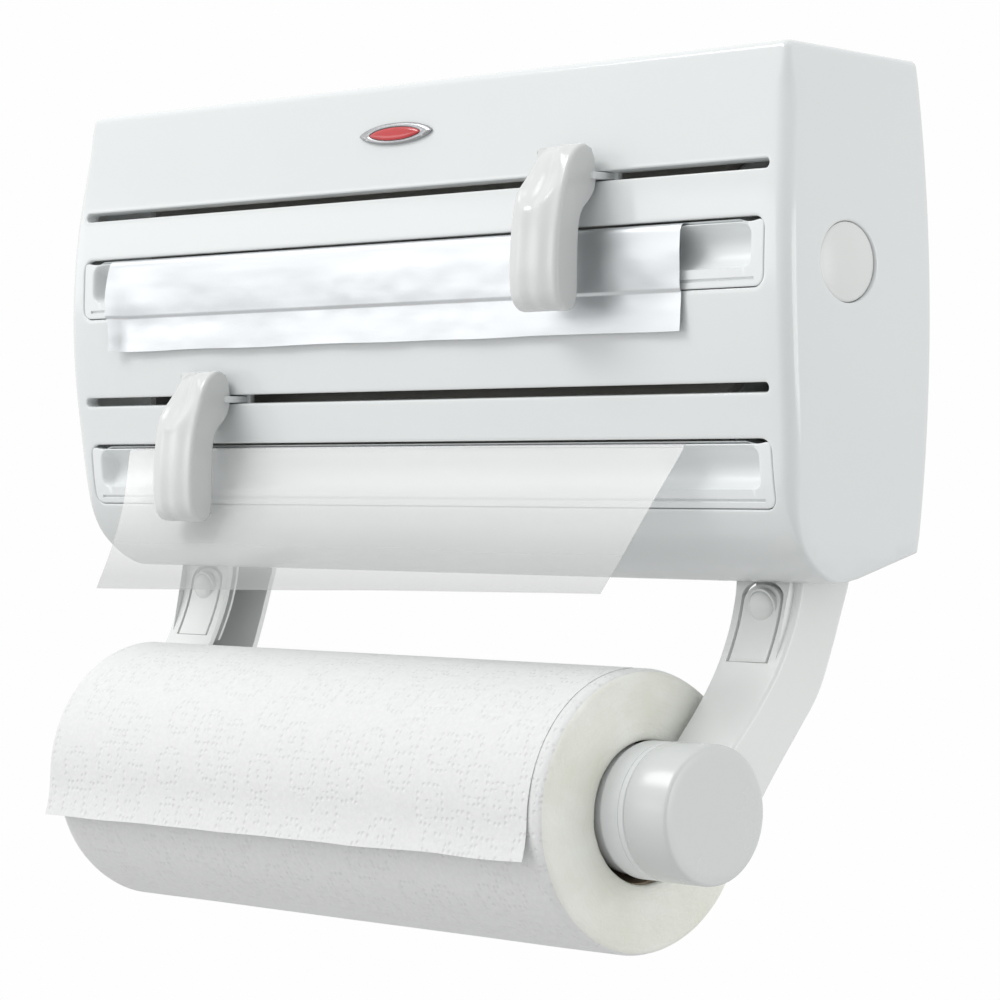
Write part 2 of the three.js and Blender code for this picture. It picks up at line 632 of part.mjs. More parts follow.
function add(name, geometry, color, roughness, metalness = 0) {
  const material = new THREE.MeshStandardMaterial({ color, roughness, metalness });
  const mesh = new THREE.Mesh(geometry, material);
  mesh.name = name;
  object.add(mesh);
}

const WHITE = [0xe9edee, 0.25];
const TRAY_WHITE = [0xdfe6e8, 0.3];
const GREY_WHITE = [0xd8dbdc, 0.35];
const PAPER_WHITE = [0xf2f2f0, 0.95];
const CARD = [0xb59a76, 0.9];

add('back_frame', makeBackFrame(), ...GREY_WHITE);
add('hood_shell', makeHoodShell(), ...WHITE);
add('upper_tray', makeTray(UPPER_WINDOW_Z), ...TRAY_WHITE);
add('lower_tray', makeTray(LOWER_WINDOW_Z), ...TRAY_WHITE);
add('badge_rim', badgePlate(18, 3.5, 0.35, 1.15), 0xb9bcc0, 0.25, 0.9);
add('badge_inlay', badgePlate(13, 2.3, 1.45, 1.9), 0xb3262c, 0.3);

for (const [slot, x, z] of [['upper', CUTTER.upperX, UPPER_SLOT_Z], ['lower', CUTTER.lowerX, LOWER_SLOT_Z]]) {
  add(`${slot}_cutter_body`, makeCutterBody(x, z), ...WHITE);
  add(`${slot}_cutter_blade`, makeCutterBlade(x, z), 0xaeb2b5, 0.25, 1);
  add(`${slot}_cutter_slider`, makeCutterSlider(x, z), ...TRAY_WHITE);
}

for (const [stuff, spool, color, metalness] of [['foil', FOIL, 0xc9cccf, 1], ['film', FILM, 0xdfe5e8, 0]]) {
  add(`${stuff}_core`, makeSpoolCore(spool), ...CARD);
  add(`${stuff}_roll`, makeSpoolRoll(spool), color, 0.3, metalness);
  for (const [name, side] of [['left', -1], ['right', 1]]) {
    add(`${stuff}_plug_${name}`, makeSpoolPlug(spool, side), ...GREY_WHITE);
  }
}
add('foil_sheet', makeFoilSheet(), 0xd9dcde, 0.2, 1);
add('film_sheet', makeFilmSheet(), 0xe8eef0, 0.1);

add('paper_core', makePaperCore(), ...CARD);
add('paper_roll', makePaperRoll(), ...PAPER_WHITE);
add('paper_tail', makePaperTail(), ...PAPER_WHITE);

for (const [name, side] of [['left', -1], ['right', 1]]) {
  add(`hinge_pin_${name}`, makeHingePin(side), 0xa9adb0, 0.3, 1);
  add(`side_button_${name}`, makeSideButton(side), ...WHITE);
  add(`button_spring_${name}`, makeButtonSpring(side), 0x9a9ea1, 0.3, 1);
  add(`arm_${name}`, makeArm(side), ...WHITE);
  add(`arm_latch_${name}`, makeArmLatch(side), ...WHITE);
  add(`arm_head_${name}`, makeHead(side), ...GREY_WHITE);
  add(`roll_plug_${name}`, makeRollPlug(side), ...TRAY_WHITE);
}

export default object;
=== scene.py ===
"""Looks of a wall-mounted kitchen roll dispenser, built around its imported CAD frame."""
import math

import bmesh
import bpy
import numpy as np
from mathutils import Matrix, Vector, noise
from mathutils.geometry import delaunay_2d_cdt


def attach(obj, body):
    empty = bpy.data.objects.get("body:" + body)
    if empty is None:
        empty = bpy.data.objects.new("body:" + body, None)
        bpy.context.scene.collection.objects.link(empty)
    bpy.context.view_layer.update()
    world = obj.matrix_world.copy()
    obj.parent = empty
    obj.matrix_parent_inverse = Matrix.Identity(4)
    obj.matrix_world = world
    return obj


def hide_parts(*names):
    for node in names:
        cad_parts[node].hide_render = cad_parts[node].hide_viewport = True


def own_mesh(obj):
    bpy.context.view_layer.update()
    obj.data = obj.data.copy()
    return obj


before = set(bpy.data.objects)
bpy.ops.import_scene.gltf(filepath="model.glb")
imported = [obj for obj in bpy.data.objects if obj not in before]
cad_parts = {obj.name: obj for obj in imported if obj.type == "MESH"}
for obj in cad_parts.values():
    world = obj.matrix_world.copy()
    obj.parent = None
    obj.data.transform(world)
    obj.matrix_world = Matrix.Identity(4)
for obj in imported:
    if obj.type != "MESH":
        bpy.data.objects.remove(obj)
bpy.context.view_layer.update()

MM = 0.001
TAU = 2 * math.pi


# ---- sizes, in millimetres
SIDES = (("left", -1), ("right", 1))
WALL, HOOD_LIP = 2.2, 0.55
HOOD_HALF, HOOD_BARREL, HOOD_HALF_HEIGHT = 181.5, 6.4, 85.0
HOOD_REAR = -4.5
CORNER_FRONT, CORNER_TOP, CORNER_LOW = 4.8, 2.4, 1.1
EAR_NOTCH_HALF, EAR_NOTCH_Y = 4.4, -13.2
ARM_NOTCH_IN, ARM_NOTCH_OUT, ARM_NOTCH_Y = 131.0, 176.3, -39.9
SLOT_Z = {"upper": 47.0, "lower": -23.2}
SLOT_HALF, SLOT_HEIGHT, SLOT_DEPTH, SLOT_CORNER = 178.5, 3.2, 5.6, 1.55
WINDOW_Z = {"upper": 19.35, "lower": -50.45}
WINDOW_HALF, WINDOW_HEIGHT, WINDOW_CORNER = 178.0, 22.5, 4.5
TRAY_SEAM, TRAY_WALL, TRAY_RIM, TRAY_LIP, TRAY_RECESS = 0.35, 1.4, 4.5, 0.3, 0.15
SLIT_HALF, SLIT_HEIGHT = 174.0, 1.3
GROOVE_UP, GROOVE_HALF, GROOVE_DEPTH = 2.9, 0.6, 0.8
TROUGH_TOP, TROUGH_HALF, TROUGH_RADIUS, TROUGH_DEPTH, TROUGH_CORNER = 2.3, 172.6, 6.9, 6.0, 3.6
BADGE_X, BADGE_Z = -1.6, 68.0
BUTTON_Y, BUTTON_Z, BUTTON_RADIUS = -42.6, 16.6, 12.8
SPRING_SEAT, SPRING_TOP = 176.4, 183.5
PIVOT_Y, PIVOT_Z, EAR_X = -8.0, 76.5, 143.0
HEAD_Y, HEAD_Z, HEAD_RADIUS = -74.2, -158.0, 22.5
ROLL_Z = HEAD_Z - 1.0
ROLL_BORE, ROLL_RADIUS, ROLL_HALF, TAIL_RADIUS = 23.3, 46.3, 130.0, 46.4
CUTTER_HALF = 12.0
CUTTER_X = {"upper": 91.4, "lower": -100.2}
FOIL = dict(y=-36.0, z=36.0, left=-157.0, right=143.0, radius=20.0, outer=14.6, inner=13.2)
FILM = dict(y=-35.0, z=-34.0, left=-153.0, right=142.0, radius=18.0, outer=13.6, inner=12.2)
FILM_END_LEFT, FILM_END_WIDTH = -151.4, 291.6
PAPER_END_LEFT, PAPER_END_WIDTH = -131.4, 254.2
LATCH_X, LATCH_HALF, LATCH_TOP, LATCH_ROOT, LATCH_ARCH = 145.4, 8.1, -86.0, -111.0, 5.5
LATCH_BUTTON = Vector((146.0, -38.25, -93.4))


# ---- materials
class Surface:
    """A Principled material with small helpers for procedural detail."""

    def __init__(self, name, color, roughness, metallic=0.0, **sockets):
        self.material = bpy.data.materials.new(name)
        self.material.use_nodes = True
        self.nodes = self.material.node_tree.nodes
        self.links = self.material.node_tree.links
        self.shader = self.nodes["Principled BSDF"]
        self.coords = self.nodes.new("ShaderNodeTexCoord")
        self.set("Base Color", (*color, 1))
        self.set("Roughness", roughness)
        self.set("Metallic", metallic)
        for socket, value in sockets.items():
            self.set(socket.replace("_", " "), value)
        self.height = None

    def set(self, socket, value):
        self.shader.inputs[socket].default_value = value

    def node(self, kind, **inputs):
        made = self.nodes.new(kind)
        for key, value in inputs.items():
            target = made.inputs[key.replace("_", " ")]
            if isinstance(value, bpy.types.NodeSocket):
                self.links.new(value, target)
            else:
                target.default_value = value
        return made

    def stretched(self, scale):
        mapping = self.node("ShaderNodeMapping", Vector=self.coords.outputs["Object"])
        mapping.inputs["Scale"].default_value = scale
        return mapping.outputs["Vector"]

    def noise(self, scale, detail=3.0, stretch=(1, 1, 1)):
        made = self.node("ShaderNodeTexNoise", Vector=self.stretched(stretch), Scale=scale, Detail=detail)
        return made.outputs["Fac"]

    def ranged(self, source, low, high, from_low=0.3, from_high=0.7):
        made = self.node("ShaderNodeMapRange", Value=source, From_Min=from_low, From_Max=from_high,
                         To_Min=low, To_Max=high)
        return made.outputs["Result"]

    def math(self, operation, a, b=0.0):
        made = self.nodes.new("ShaderNodeMath")
        made.operation = operation
        for socket, value in zip(made.inputs, (a, b)):
            if isinstance(value, bpy.types.NodeSocket):
                self.links.new(value, socket)
            else:
                socket.default_value = value
        return made.outputs[0]

    def tint(self, source, dark, light):
        ramp = self.node("ShaderNodeValToRGB", Fac=source)
        ramp.color_ramp.elements[0].color = (*dark, 1)
        ramp.color_ramp.elements[1].color = (*light, 1)
        self.links.new(ramp.outputs["Color"], self.shader.inputs["Base Color"])
        return self

    def rough(self, source, low, high):
        self.links.new(self.ranged(source, low, high), self.shader.inputs["Roughness"])
        return self

    def bump(self, source, distance, strength=1.0):
        made = self.node("ShaderNodeBump", Height=source, Distance=distance, Strength=strength)
        if self.height is not None:
            self.links.new(self.height, made.inputs["Normal"])
        self.height = made.outputs["Normal"]
        self.links.new(self.height, self.shader.inputs["Normal"])
        return self


def scaled(color, factor):
    return tuple(min(1.0, c * factor) for c in color)


def plastic(name, color, roughness, texture=0.00003, **sockets):
    """Moulded plastic: faint flow clouds, uneven gloss, and a fine orange-peel skin."""
    made = Surface(name, color, roughness, **sockets)
    cloud = made.noise(9, 2)
    made.tint(made.ranged(cloud, 0.25, 0.75), scaled(color, 0.975), scaled(color, 1.015))
    made.rough(made.noise(60, 4), roughness * 0.85, roughness * 1.2)
    made.bump(made.noise(420, 2), texture, 0.5)
    made.bump(made.noise(14, 1), texture * 6, 0.25)
    return made.material


def steel(name, color=(0.62, 0.63, 0.64), roughness=0.28):
    made = Surface(name, color, roughness, 1.0)
    lines = made.noise(90, 3, (1, 14, 14))
    made.tint(lines, scaled(color, 0.85), scaled(color, 1.1))
    made.rough(lines, roughness * 0.8, roughness * 1.3)
    return made.bump(lines, 0.00002, 0.4).material


def aluminium_foil(name, color):
    """Rolled aluminium: broad soft dents, smaller ones on them, and faint rolling lines."""
    made = Surface(name, color, 0.4, 1.0)
    soft = made.noise(17, 2, (1, 1, 1.7))
    made.tint(soft, scaled(color, 0.94), scaled(color, 1.04))
    made.rough(made.noise(40, 2, (0.4, 3, 3)), 0.34, 0.5)
    made.bump(soft, 0.0026, 0.6)
    made.bump(made.noise(75, 2, (1, 1, 2.2)), 0.0002, 0.3)
    return made.bump(made.noise(60, 2, (0.1, 6, 6)), 0.00003, 0.3).material


def cling_film():
    """Thin clear film, with painted shade: its colour is pale near its slit and darkens to grey towards its
    lower, free edge.
    """
    made = Surface("film", (0.8, 0.81, 0.81), 0.09, Alpha=0.36, IOR=1.48, Specular_IOR_Level=0.6)
    ripples = made.noise(9, 2, (0.5, 1, 2.2))
    place = made.node("ShaderNodeSeparateXYZ", Vector=made.coords.outputs["Object"])
    height = made.math("ADD", place.outputs["Z"], made.math("MULTIPLY", ripples, 0.012))
    # painted shade: the film's colour goes from grey low down to white near the slit, by height
    made.tint(made.ranged(height, 0, 1, -0.082, -0.050), (0.46, 0.47, 0.47), (1.0, 1.0, 1.0))
    made.rough(made.noise(70, 3), 0.06, 0.14)
    made.bump(ripples, 0.0016, 0.35)
    return made.bump(made.noise(45, 3, (0.4, 1, 1)), 0.0002, 0.3).material


def wound_film():
    made = Surface("film_roll", (0.60, 0.585, 0.54), 0.2, Specular_IOR_Level=0.6)
    layers = made.noise(40, 3, (0.3, 6, 6))
    made.tint(layers, (0.52, 0.505, 0.46), (0.66, 0.65, 0.61))
    made.rough(layers, 0.14, 0.28)
    return made.bump(layers, 0.0001, 0.4).material


def from_roll_axis(made):
    """A point's place along X, and in Y and Z from the paper roll's axis."""
    place = made.node("ShaderNodeSeparateXYZ", Vector=made.coords.outputs["Object"]).outputs
    dy = made.math("SUBTRACT", place["Y"], HEAD_Y * MM)
    dz = made.math("SUBTRACT", place["Z"], ROLL_Z * MM)
    return place["X"], dy, dz


def embossed_paper(name, color):
    """Soft tissue: small dots pressed in along rings and petals, with a little painted shade in them, over a
    fibrous, fuzzy surface.
    """
    made = Surface(name, color, 0.92, Specular_IOR_Level=0.2, Sheen_Weight=0.12, Sheen_Roughness=0.6)
    fibre = made.noise(650, 3)
    along, dy, dz = from_roll_axis(made)
    angle = made.math("ARCTAN2", dz, made.math("MULTIPLY", dy, -1.0))
    around = made.math("MULTIPLY", angle, TAIL_RADIUS * MM)
    unrolled = made.node("ShaderNodeCombineXYZ", X=along, Y=around).outputs["Vector"]
    flat = []
    for scale, randomness in ((400, 0.35), (58, 0.75)):
        cells = made.node("ShaderNodeTexVoronoi", Vector=unrolled, Scale=scale, Randomness=randomness)
        cells.voronoi_dimensions = "2D"
        flat.append(cells.outputs["Distance"])
    dots = made.ranged(flat[0], 1, 0, 0.10, 0.38)
    ring = made.ranged(made.math("ABSOLUTE", made.math("SUBTRACT", flat[1], 0.36)), 1, 0, 0.06, 0.10)
    heart = made.ranged(flat[1], 1, 0, 0.09, 0.13)
    pressed = made.math("MULTIPLY", dots, made.math("MAXIMUM", ring, heart))
    # painted shade: the pressed dots are darkened a little in their dents, over the fibres' own uneven tone
    fibre_tone_and_dot_shade = made.math("SUBTRACT", fibre, made.math("MULTIPLY", pressed, 0.10))
    made.tint(made.ranged(fibre_tone_and_dot_shade, 0, 1, 0.2, 0.75), scaled(color, 0.95), scaled(color, 1.03))
    made.bump(fibre, 0.00016, 0.5)
    made.bump(pressed, -0.0004, 0.6)
    return made.bump(made.noise(46, 2), 0.0009, 0.35).material


def wound_ends():
    """The soft end faces of the paper roll: cream and fuzzy, with faint uneven windings."""
    made = Surface("paper_ends", (0.80, 0.81, 0.745), 0.95, Specular_IOR_Level=0.15, Sheen_Weight=0.15)
    _, dy, dz = from_roll_axis(made)
    squares = made.math("ADD", made.math("MULTIPLY", dy, dy), made.math("MULTIPLY", dz, dz))
    wobble = made.math("MULTIPLY", made.noise(70, 4), 0.009)
    winding = made.math("MULTIPLY", made.math("ADD", made.math("SQRT", squares), wobble), 900)
    ring_at = made.node("ShaderNodeCombineXYZ", X=winding).outputs["Vector"]
    rings = made.node("ShaderNodeTexNoise", Vector=ring_at, Scale=1.0, Detail=4.0).outputs["Fac"]
    blotch = made.math("MULTIPLY", made.noise(38, 5), 0.85)
    mix = made.math("ADD", made.math("MULTIPLY", rings, 0.22), blotch)
    made.tint(made.ranged(mix, 0, 1, 0.36, 0.7), (0.77, 0.78, 0.69), (0.89, 0.90, 0.86))
    made.bump(rings, 0.0003, 0.45)
    made.bump(made.noise(170, 4), 0.0009, 0.5)
    return made.bump(made.noise(620, 3), 0.0004, 0.6).material


def card():
    made = Surface("card", (0.52, 0.41, 0.30), 0.9)
    grain = made.noise(260, 4, (0.4, 1, 1))
    made.tint(grain, (0.43, 0.33, 0.23), (0.60, 0.49, 0.37))
    return made.bump(grain, 0.0001, 0.6).material


def enamel():
    made = Surface("badge_red", (0.52, 0.015, 0.02), 0.12, Coat_Weight=0.6, Coat_Roughness=0.05)
    depth = made.noise(180, 2)
    made.tint(depth, (0.42, 0.01, 0.015), (0.62, 0.03, 0.035))
    return made.bump(depth, 0.00002, 0.3).material


HOOD_WHITE = plastic("white_plastic", (0.742, 0.768, 0.768), 0.12, Specular_IOR_Level=0.6)
TRAY_WHITE = plastic("tray_plastic", (0.80, 0.825, 0.83), 0.36)
CUTTER_WHITE = plastic("cutter_plastic", (0.66, 0.675, 0.67), 0.2, Specular_IOR_Level=0.55)
BUTTON_WHITE = plastic("button_plastic", (0.73, 0.745, 0.735), 0.2)
ARM_WHITE = plastic("arm_plastic", (0.80, 0.815, 0.805), 0.18)
HEAD_GREY = plastic("head_plastic", (0.66, 0.68, 0.675), 0.25)
FRAME_WHITE = plastic("frame_plastic", (0.62, 0.63, 0.625), 0.45, 0.00008)
STEEL = steel("steel")
SPRING_STEEL = steel("spring_steel", (0.5, 0.5, 0.52), 0.35)
BADGE_METAL = steel("badge_metal", (0.40, 0.41, 0.42), 0.3)
BADGE_RED = enamel()
FOIL_METAL = aluminium_foil("foil", (0.71, 0.73, 0.745))
# The foil roll is coloured a dark brownish grey as painted shade: it stands for the shade inside the hood,
# seen through the cutter slot.
FOIL_ROLL_PAINTED_SHADE = aluminium_foil("foil_roll", (0.42, 0.40, 0.37))
FILM_CLEAR = cling_film()
FILM_WOUND = wound_film()
PAPER_WHITE = embossed_paper("paper", (0.775, 0.785, 0.78))
PAPER_ENDS = wound_ends()
CARD = card()


# ---- pieces
def new_object(name, data):
    obj = bpy.data.objects.new(name, data)
    bpy.context.scene.collection.objects.link(obj)
    return obj


def finish_piece(obj, body, materials, replaces=(), smooth=35):
    for material in materials:
        obj.data.materials.append(material)
    for polygon in obj.data.polygons:
        polygon.use_smooth = True
    obj.data.set_sharp_from_angle(angle=math.radians(smooth))
    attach(obj, body)
    if replaces:
        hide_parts(*replaces)
    return obj


def mesh_of(name, verts, faces, weld=0.0):
    """A mesh from points in millimetres, with its faces turned outwards."""
    mesh = bpy.data.meshes.new(name)
    mesh.from_pydata([tuple(c * MM for c in v) for v in verts], [], faces)
    bm = bmesh.new()
    bm.from_mesh(mesh)
    if weld:
        bmesh.ops.remove_doubles(bm, verts=bm.verts, dist=weld)
    bmesh.ops.recalc_face_normals(bm, faces=bm.faces)
    if bm.calc_volume(signed=True) < 0:
        bmesh.ops.reverse_faces(bm, faces=bm.faces)
    bm.to_mesh(mesh)
    bm.free()
    return mesh


def piece(name, verts, faces, body, slot, material, replaces=(), smooth=35, face_slots=None):
    """An object from points in millimetres, riding on a body."""
    obj = new_object(name, mesh_of(name, verts, faces, 1e-6))
    materials = material if isinstance(material, (list, tuple)) else [material]
    if face_slots is not None:
        for polygon in obj.data.polygons:
            polygon.material_index = face_slots(polygon.center / MM)
    return finish_piece(obj, body, materials, replaces, smooth)


def sided_piece(name, sign, shape, body, slot, material, replaces=(), smooth=35):
    """A piece whose shape is given for the right side, and mirrored for the left."""
    soup = Soup().add(*shape).sided(sign)
    return piece(name, soup.verts, soup.faces, body, slot, material, replaces, smooth)


class Soup:
    """Collects closed shapes, in millimetres, that become one piece."""

    def __init__(self):
        self.verts, self.faces = [], []

    def add(self, verts, faces):
        base = len(self.verts)
        self.verts += [tuple(v) for v in verts]
        self.faces += [tuple(base + i for i in face) for face in faces]
        return self

    def sided(self, sign):
        """Mirrors the shapes where they belong on the left side."""
        if sign < 0:
            self.verts = [(-x, y, z) for x, y, z in self.verts]
            self.faces = [face[::-1] for face in self.faces]
        return self


def rings_mesh(rings, closed=False, caps=True):
    """Faces between rings of equally many points; the ends are capped or joined."""
    count = len(rings[0])
    verts = [p for ring in rings for p in ring]
    faces = []
    for i in range(len(rings) if closed else len(rings) - 1):
        a, b = i * count, ((i + 1) % len(rings)) * count
        for j in range(count):
            k = (j + 1) % count
            faces.append((a + j, a + k, b + k, b + j))
    if caps and not closed:
        faces.append(tuple(range(count))[::-1])
        faces.append(tuple(range((len(rings) - 1) * count, len(rings) * count)))
    return verts, faces


def turned(profile, y, z, segments=96):
    """A solid turned from (distance along X, radius) pairs about a line along X."""
    rings = []
    for along, radius in profile:
        ring = []
        for k in range(segments):
            angle = TAU * k / segments
            ring.append((along, y + radius * math.cos(angle), z + radius * math.sin(angle)))
        rings.append(ring)
    return rings_mesh(rings, closed=profile[0] == profile[-1])


def bend(p, corner, q, t):
    """The point at t, from 0 to 1, on a curve from p to q that a corner pulls towards itself."""
    return (1 - t) ** 2 * p + 2 * t * (1 - t) * corner + t * t * q


def rounded(profile, radius, steps):
    """Rounds the inner corners of an open (u, v) line, starting at most this far before each."""
    points = [np.array(p, float) for p in profile]
    out = [tuple(points[0])]
    for before, at, after in zip(points, points[1:], points[2:]):
        a, b = before - at, after - at
        la, lb = np.linalg.norm(a), np.linalg.norm(b)
        reach = min(radius, 0.45 * la, 0.45 * lb)
        p, q = at + a / la * reach, at + b / lb * reach
        out += [tuple(bend(p, at, q, k / steps)) for k in range(steps + 1)]
    out.append(tuple(points[-1]))
    return out


def block(soup, low, high, bevel=0.5):
    """A box with bevelled edges."""
    bm = bmesh.new()
    bmesh.ops.create_cube(bm, size=1)
    for vert in bm.verts:
        vert.co = Vector([lo + (c + 0.5) * (hi - lo) for c, lo, hi in zip(vert.co, low, high)])
    bmesh.ops.bevel(bm, geom=bm.edges[:], offset=bevel, segments=2, profile=0.5, affect="EDGES")
    bm.verts.index_update()
    soup.add([tuple(v.co) for v in bm.verts], [[v.index for v in f.verts] for f in bm.faces])
    bm.free()
    return soup


def spline(points, steps=8):
    """A Catmull-Rom curve through open points."""
    pts = [np.array(p, float) for p in points]
    pts = [2 * pts[0] - pts[1]] + pts + [2 * pts[-1] - pts[-2]]
    out = []
    for a, b, c, d in zip(pts, pts[1:], pts[2:], pts[3:]):
        for k in range(steps):
            t = k / steps
            out.append(0.5 * (2 * b + (c - a) * t + (2 * a - 5 * b + 4 * c - d) * t * t
                              + (3 * b - a - 3 * c + d) * t ** 3))
    out.append(pts[-2])
    return [tuple(p) for p in out]


def inset_loop(points, distance):
    """Moves a closed loop inwards by a distance, or by one distance for each point."""
    pts = np.array(points, float)
    distance = np.broadcast_to(np.asarray(distance, float), (len(pts),))
    area = 0.5 * np.sum(pts[:, 0] * np.roll(pts[:, 1], -1) - np.roll(pts[:, 0], -1) * pts[:, 1])
    before = pts - np.roll(pts, 1, axis=0)
    after = np.roll(pts, -1, axis=0) - pts
    before /= np.linalg.norm(before, axis=1)[:, None]
    after /= np.linalg.norm(after, axis=1)[:, None]
    middle = before + after
    middle /= np.linalg.norm(middle, axis=1)[:, None]
    stretch = 1 / np.maximum(0.6, np.sum(middle * after, axis=1))
    normal = np.stack([-middle[:, 1], middle[:, 0]], axis=1) * np.sign(area)
    return pts + normal * (distance * stretch)[:, None]


def smoothstep(value):
    value = min(1.0, max(0.0, value))
    return value * value * (3 - 2 * value)


# ---- hood
HOOD_FRONT = [(-64.6, 83.0), (-67.6, 62), (-70.4, 38), (-71.45, 12), (-70.6, -12), (-68.4, -36), (-66.1, -57),
              (-61.5, -69.3), (-54.8, -77.6), (-47.5, -82.8), (-40.3, -85.15), (-31, -83.8)]
TOP_ROWS = 13


def hood_line():
    """The hood's side view as dense (Y, Z) points: top, front edge, front, bottom."""
    # the top rises from 83.1 towards the front, and the bottom from -83.8 towards the rear
    ys = np.linspace(HOOD_REAR, -60.4, TOP_ROWS)
    top = [(y, 83.1 + (HOOD_REAR - y) / 57.1 * 2.85) for y in ys]
    start, corner, end = (np.array(p) for p in (top[-1], (-64.2, 86.0), HOOD_FRONT[0]))
    edge = [bend(start, corner, end, t) for t in np.linspace(0, 1, 9)[1:-1]]
    bottom = [(y, -83.8 + (y + 31) / 26.5 * 7.8) for y in np.linspace(-31, HOOD_REAR, 8)[1:]]
    return np.array([tuple(p) for p in top + edge + spline(HOOD_FRONT, 7) + bottom])


LINE = hood_line()
LINE_S = np.concatenate([[0], np.cumsum(np.linalg.norm(np.diff(LINE, axis=0), axis=1))])
FRONT_ROWS = [i for i, (y, z) in enumerate(LINE) if -66 < z < 83.1 and y < -62]
_tangent = np.gradient(LINE, LINE_S, axis=0)
_tangent /= np.linalg.norm(_tangent, axis=1)[:, None]
LINE_N = np.stack([_tangent[:, 1], -_tangent[:, 0]], axis=1)


def line_at(s):
    return (np.interp(s, LINE_S, LINE[:, 0]), np.interp(s, LINE_S, LINE[:, 1]))


def normal_at(s):
    n = np.array([np.interp(s, LINE_S, LINE_N[:, 0]), np.interp(s, LINE_S, LINE_N[:, 1])])
    return n / np.linalg.norm(n)


def s_of_z(z):
    """Distance along the hood's line of a height on its front."""
    rows = FRONT_ROWS[::-1]
    return float(np.interp(z, LINE[rows, 1], LINE_S[rows]))


def s_of_top(y):
    """Distance along the hood's line of a place on its top."""
    return float(np.interp(-y, -LINE[:TOP_ROWS, 0], LINE_S[:TOP_ROWS]))


def half_width(z):
    return HOOD_HALF + HOOD_BARREL * (1 - (z / HOOD_HALF_HEIGHT) ** 2)


def corner_radius(z):
    top = CORNER_TOP + (CORNER_FRONT - CORNER_TOP) * smoothstep((83 - z) / 14)
    return CORNER_LOW + (top - CORNER_LOW) * smoothstep((z + 76) / 24)


def front_y(z):
    return line_at(s_of_z(z))[0]


def bar_outline(half, height, corner, z, grow=0.0, step=6.0):
    """A rectangle with round corners, in (X, Z), as closely spaced points."""
    w, h, r = half - corner, height / 2 - corner, corner + grow
    out = []
    for start, cx, cz in ((0, w, h), (TAU / 4, -w, h), (TAU / 2, -w, -h), (3 * TAU / 4, w, -h)):
        for k in range(9):
            angle = start + TAU / 4 * k / 8
            out.append((cx + r * math.cos(angle), z + cz + r * math.sin(angle)))
    return spaced(out, step)


def spaced(points, step):
    """Adds points so that no side of a closed loop is longer than the step."""
    out = []
    for a, b in zip(points, points[1:] + points[:1]):
        count = max(1, math.ceil(math.dist(a, b) / step))
        out += [(a[0] + (b[0] - a[0]) * k / count, a[1] + (b[1] - a[1]) * k / count) for k in range(count)]
    return out


def inside(loop, points):
    """Which points lie in a closed loop."""
    points = np.asarray(points, float)
    x, y = points[:, 0], points[:, 1]
    found = np.zeros(len(points), bool)
    for (ax, ay), (bx, by) in zip(loop, np.roll(loop, -1, axis=0)):
        crosses = (ay > y) != (by > y)
        with np.errstate(divide="ignore", invalid="ignore"):
            found ^= crosses & (x < (bx - ax) * (y - ay) / (by - ay) + ax)
    return found


def distance_to(loop, points):
    """How far each point is from the nearest side of a closed loop."""
    points = np.asarray(points, float)
    best = np.full(len(points), 1e9)
    for a, b in zip(np.asarray(loop, float), np.roll(loop, -1, axis=0)):
        side = b - a
        t = np.clip(((points - a) @ side) / max(1e-12, side @ side), 0, 1)
        best = np.minimum(best, np.linalg.norm(points - a - t[:, None] * side, axis=1))
    return best


def filled_region(outer, holes, grid, extra=(), clear=1.2, lines=()):
    """Triangles of a flat region: outer loop, hole loops, support loops, and either inner grid
    points or whole lines of points that the triangles must follow."""
    loops = [list(outer)] + [list(h) for h in holes] + [list(e) for e in extra]
    verts, edges = [], []
    for loop in loops:
        base = len(verts)
        verts += [tuple(p) for p in loop]
        edges += [(base + i, base + (i + 1) % len(loop)) for i in range(len(loop))]
    grid = np.asarray(grid, float)
    keep = inside(outer, grid)
    for loop in loops:
        keep &= distance_to(loop, grid) > clear
    for hole in holes:
        keep &= ~inside(hole, grid)
    verts += [tuple(p) for p in grid[keep]]
    for line in lines:
        line = np.asarray(line, float)
        good = inside(outer, line)
        for loop in loops:
            good &= distance_to(loop, line) > clear
        for i, p in enumerate(line):
            if good[i]:
                verts.append(tuple(p))
                if i and good[i - 1]:
                    edges.append((len(verts) - 2, len(verts) - 1))
    out = delaunay_2d_cdt([Vector(v) for v in verts], edges, [], 0, 1e-5)
    points, tris = np.array([tuple(v) for v in out[0]]), [tuple(f) for f in out[2]]
    centres = np.array([points[list(t)].mean(axis=0) for t in tris])
    ok = inside(outer, centres)
    for hole in holes:
        ok &= ~inside(hole, centres)
    return points, [t for t, good in zip(tris, ok) if good]


def facing(verts, tris, outward):
    """Turns each triangle to face the direction that outward gives at its middle."""
    out = []
    for tri in tris:
        a, b, c = (Vector(verts[i]) for i in tri)
        ahead = (b - a).cross(c - a).dot(outward((a + b + c) / 3)) > 0
        out.append(tuple(tri) if ahead else tuple(tri[::-1]))
    return out


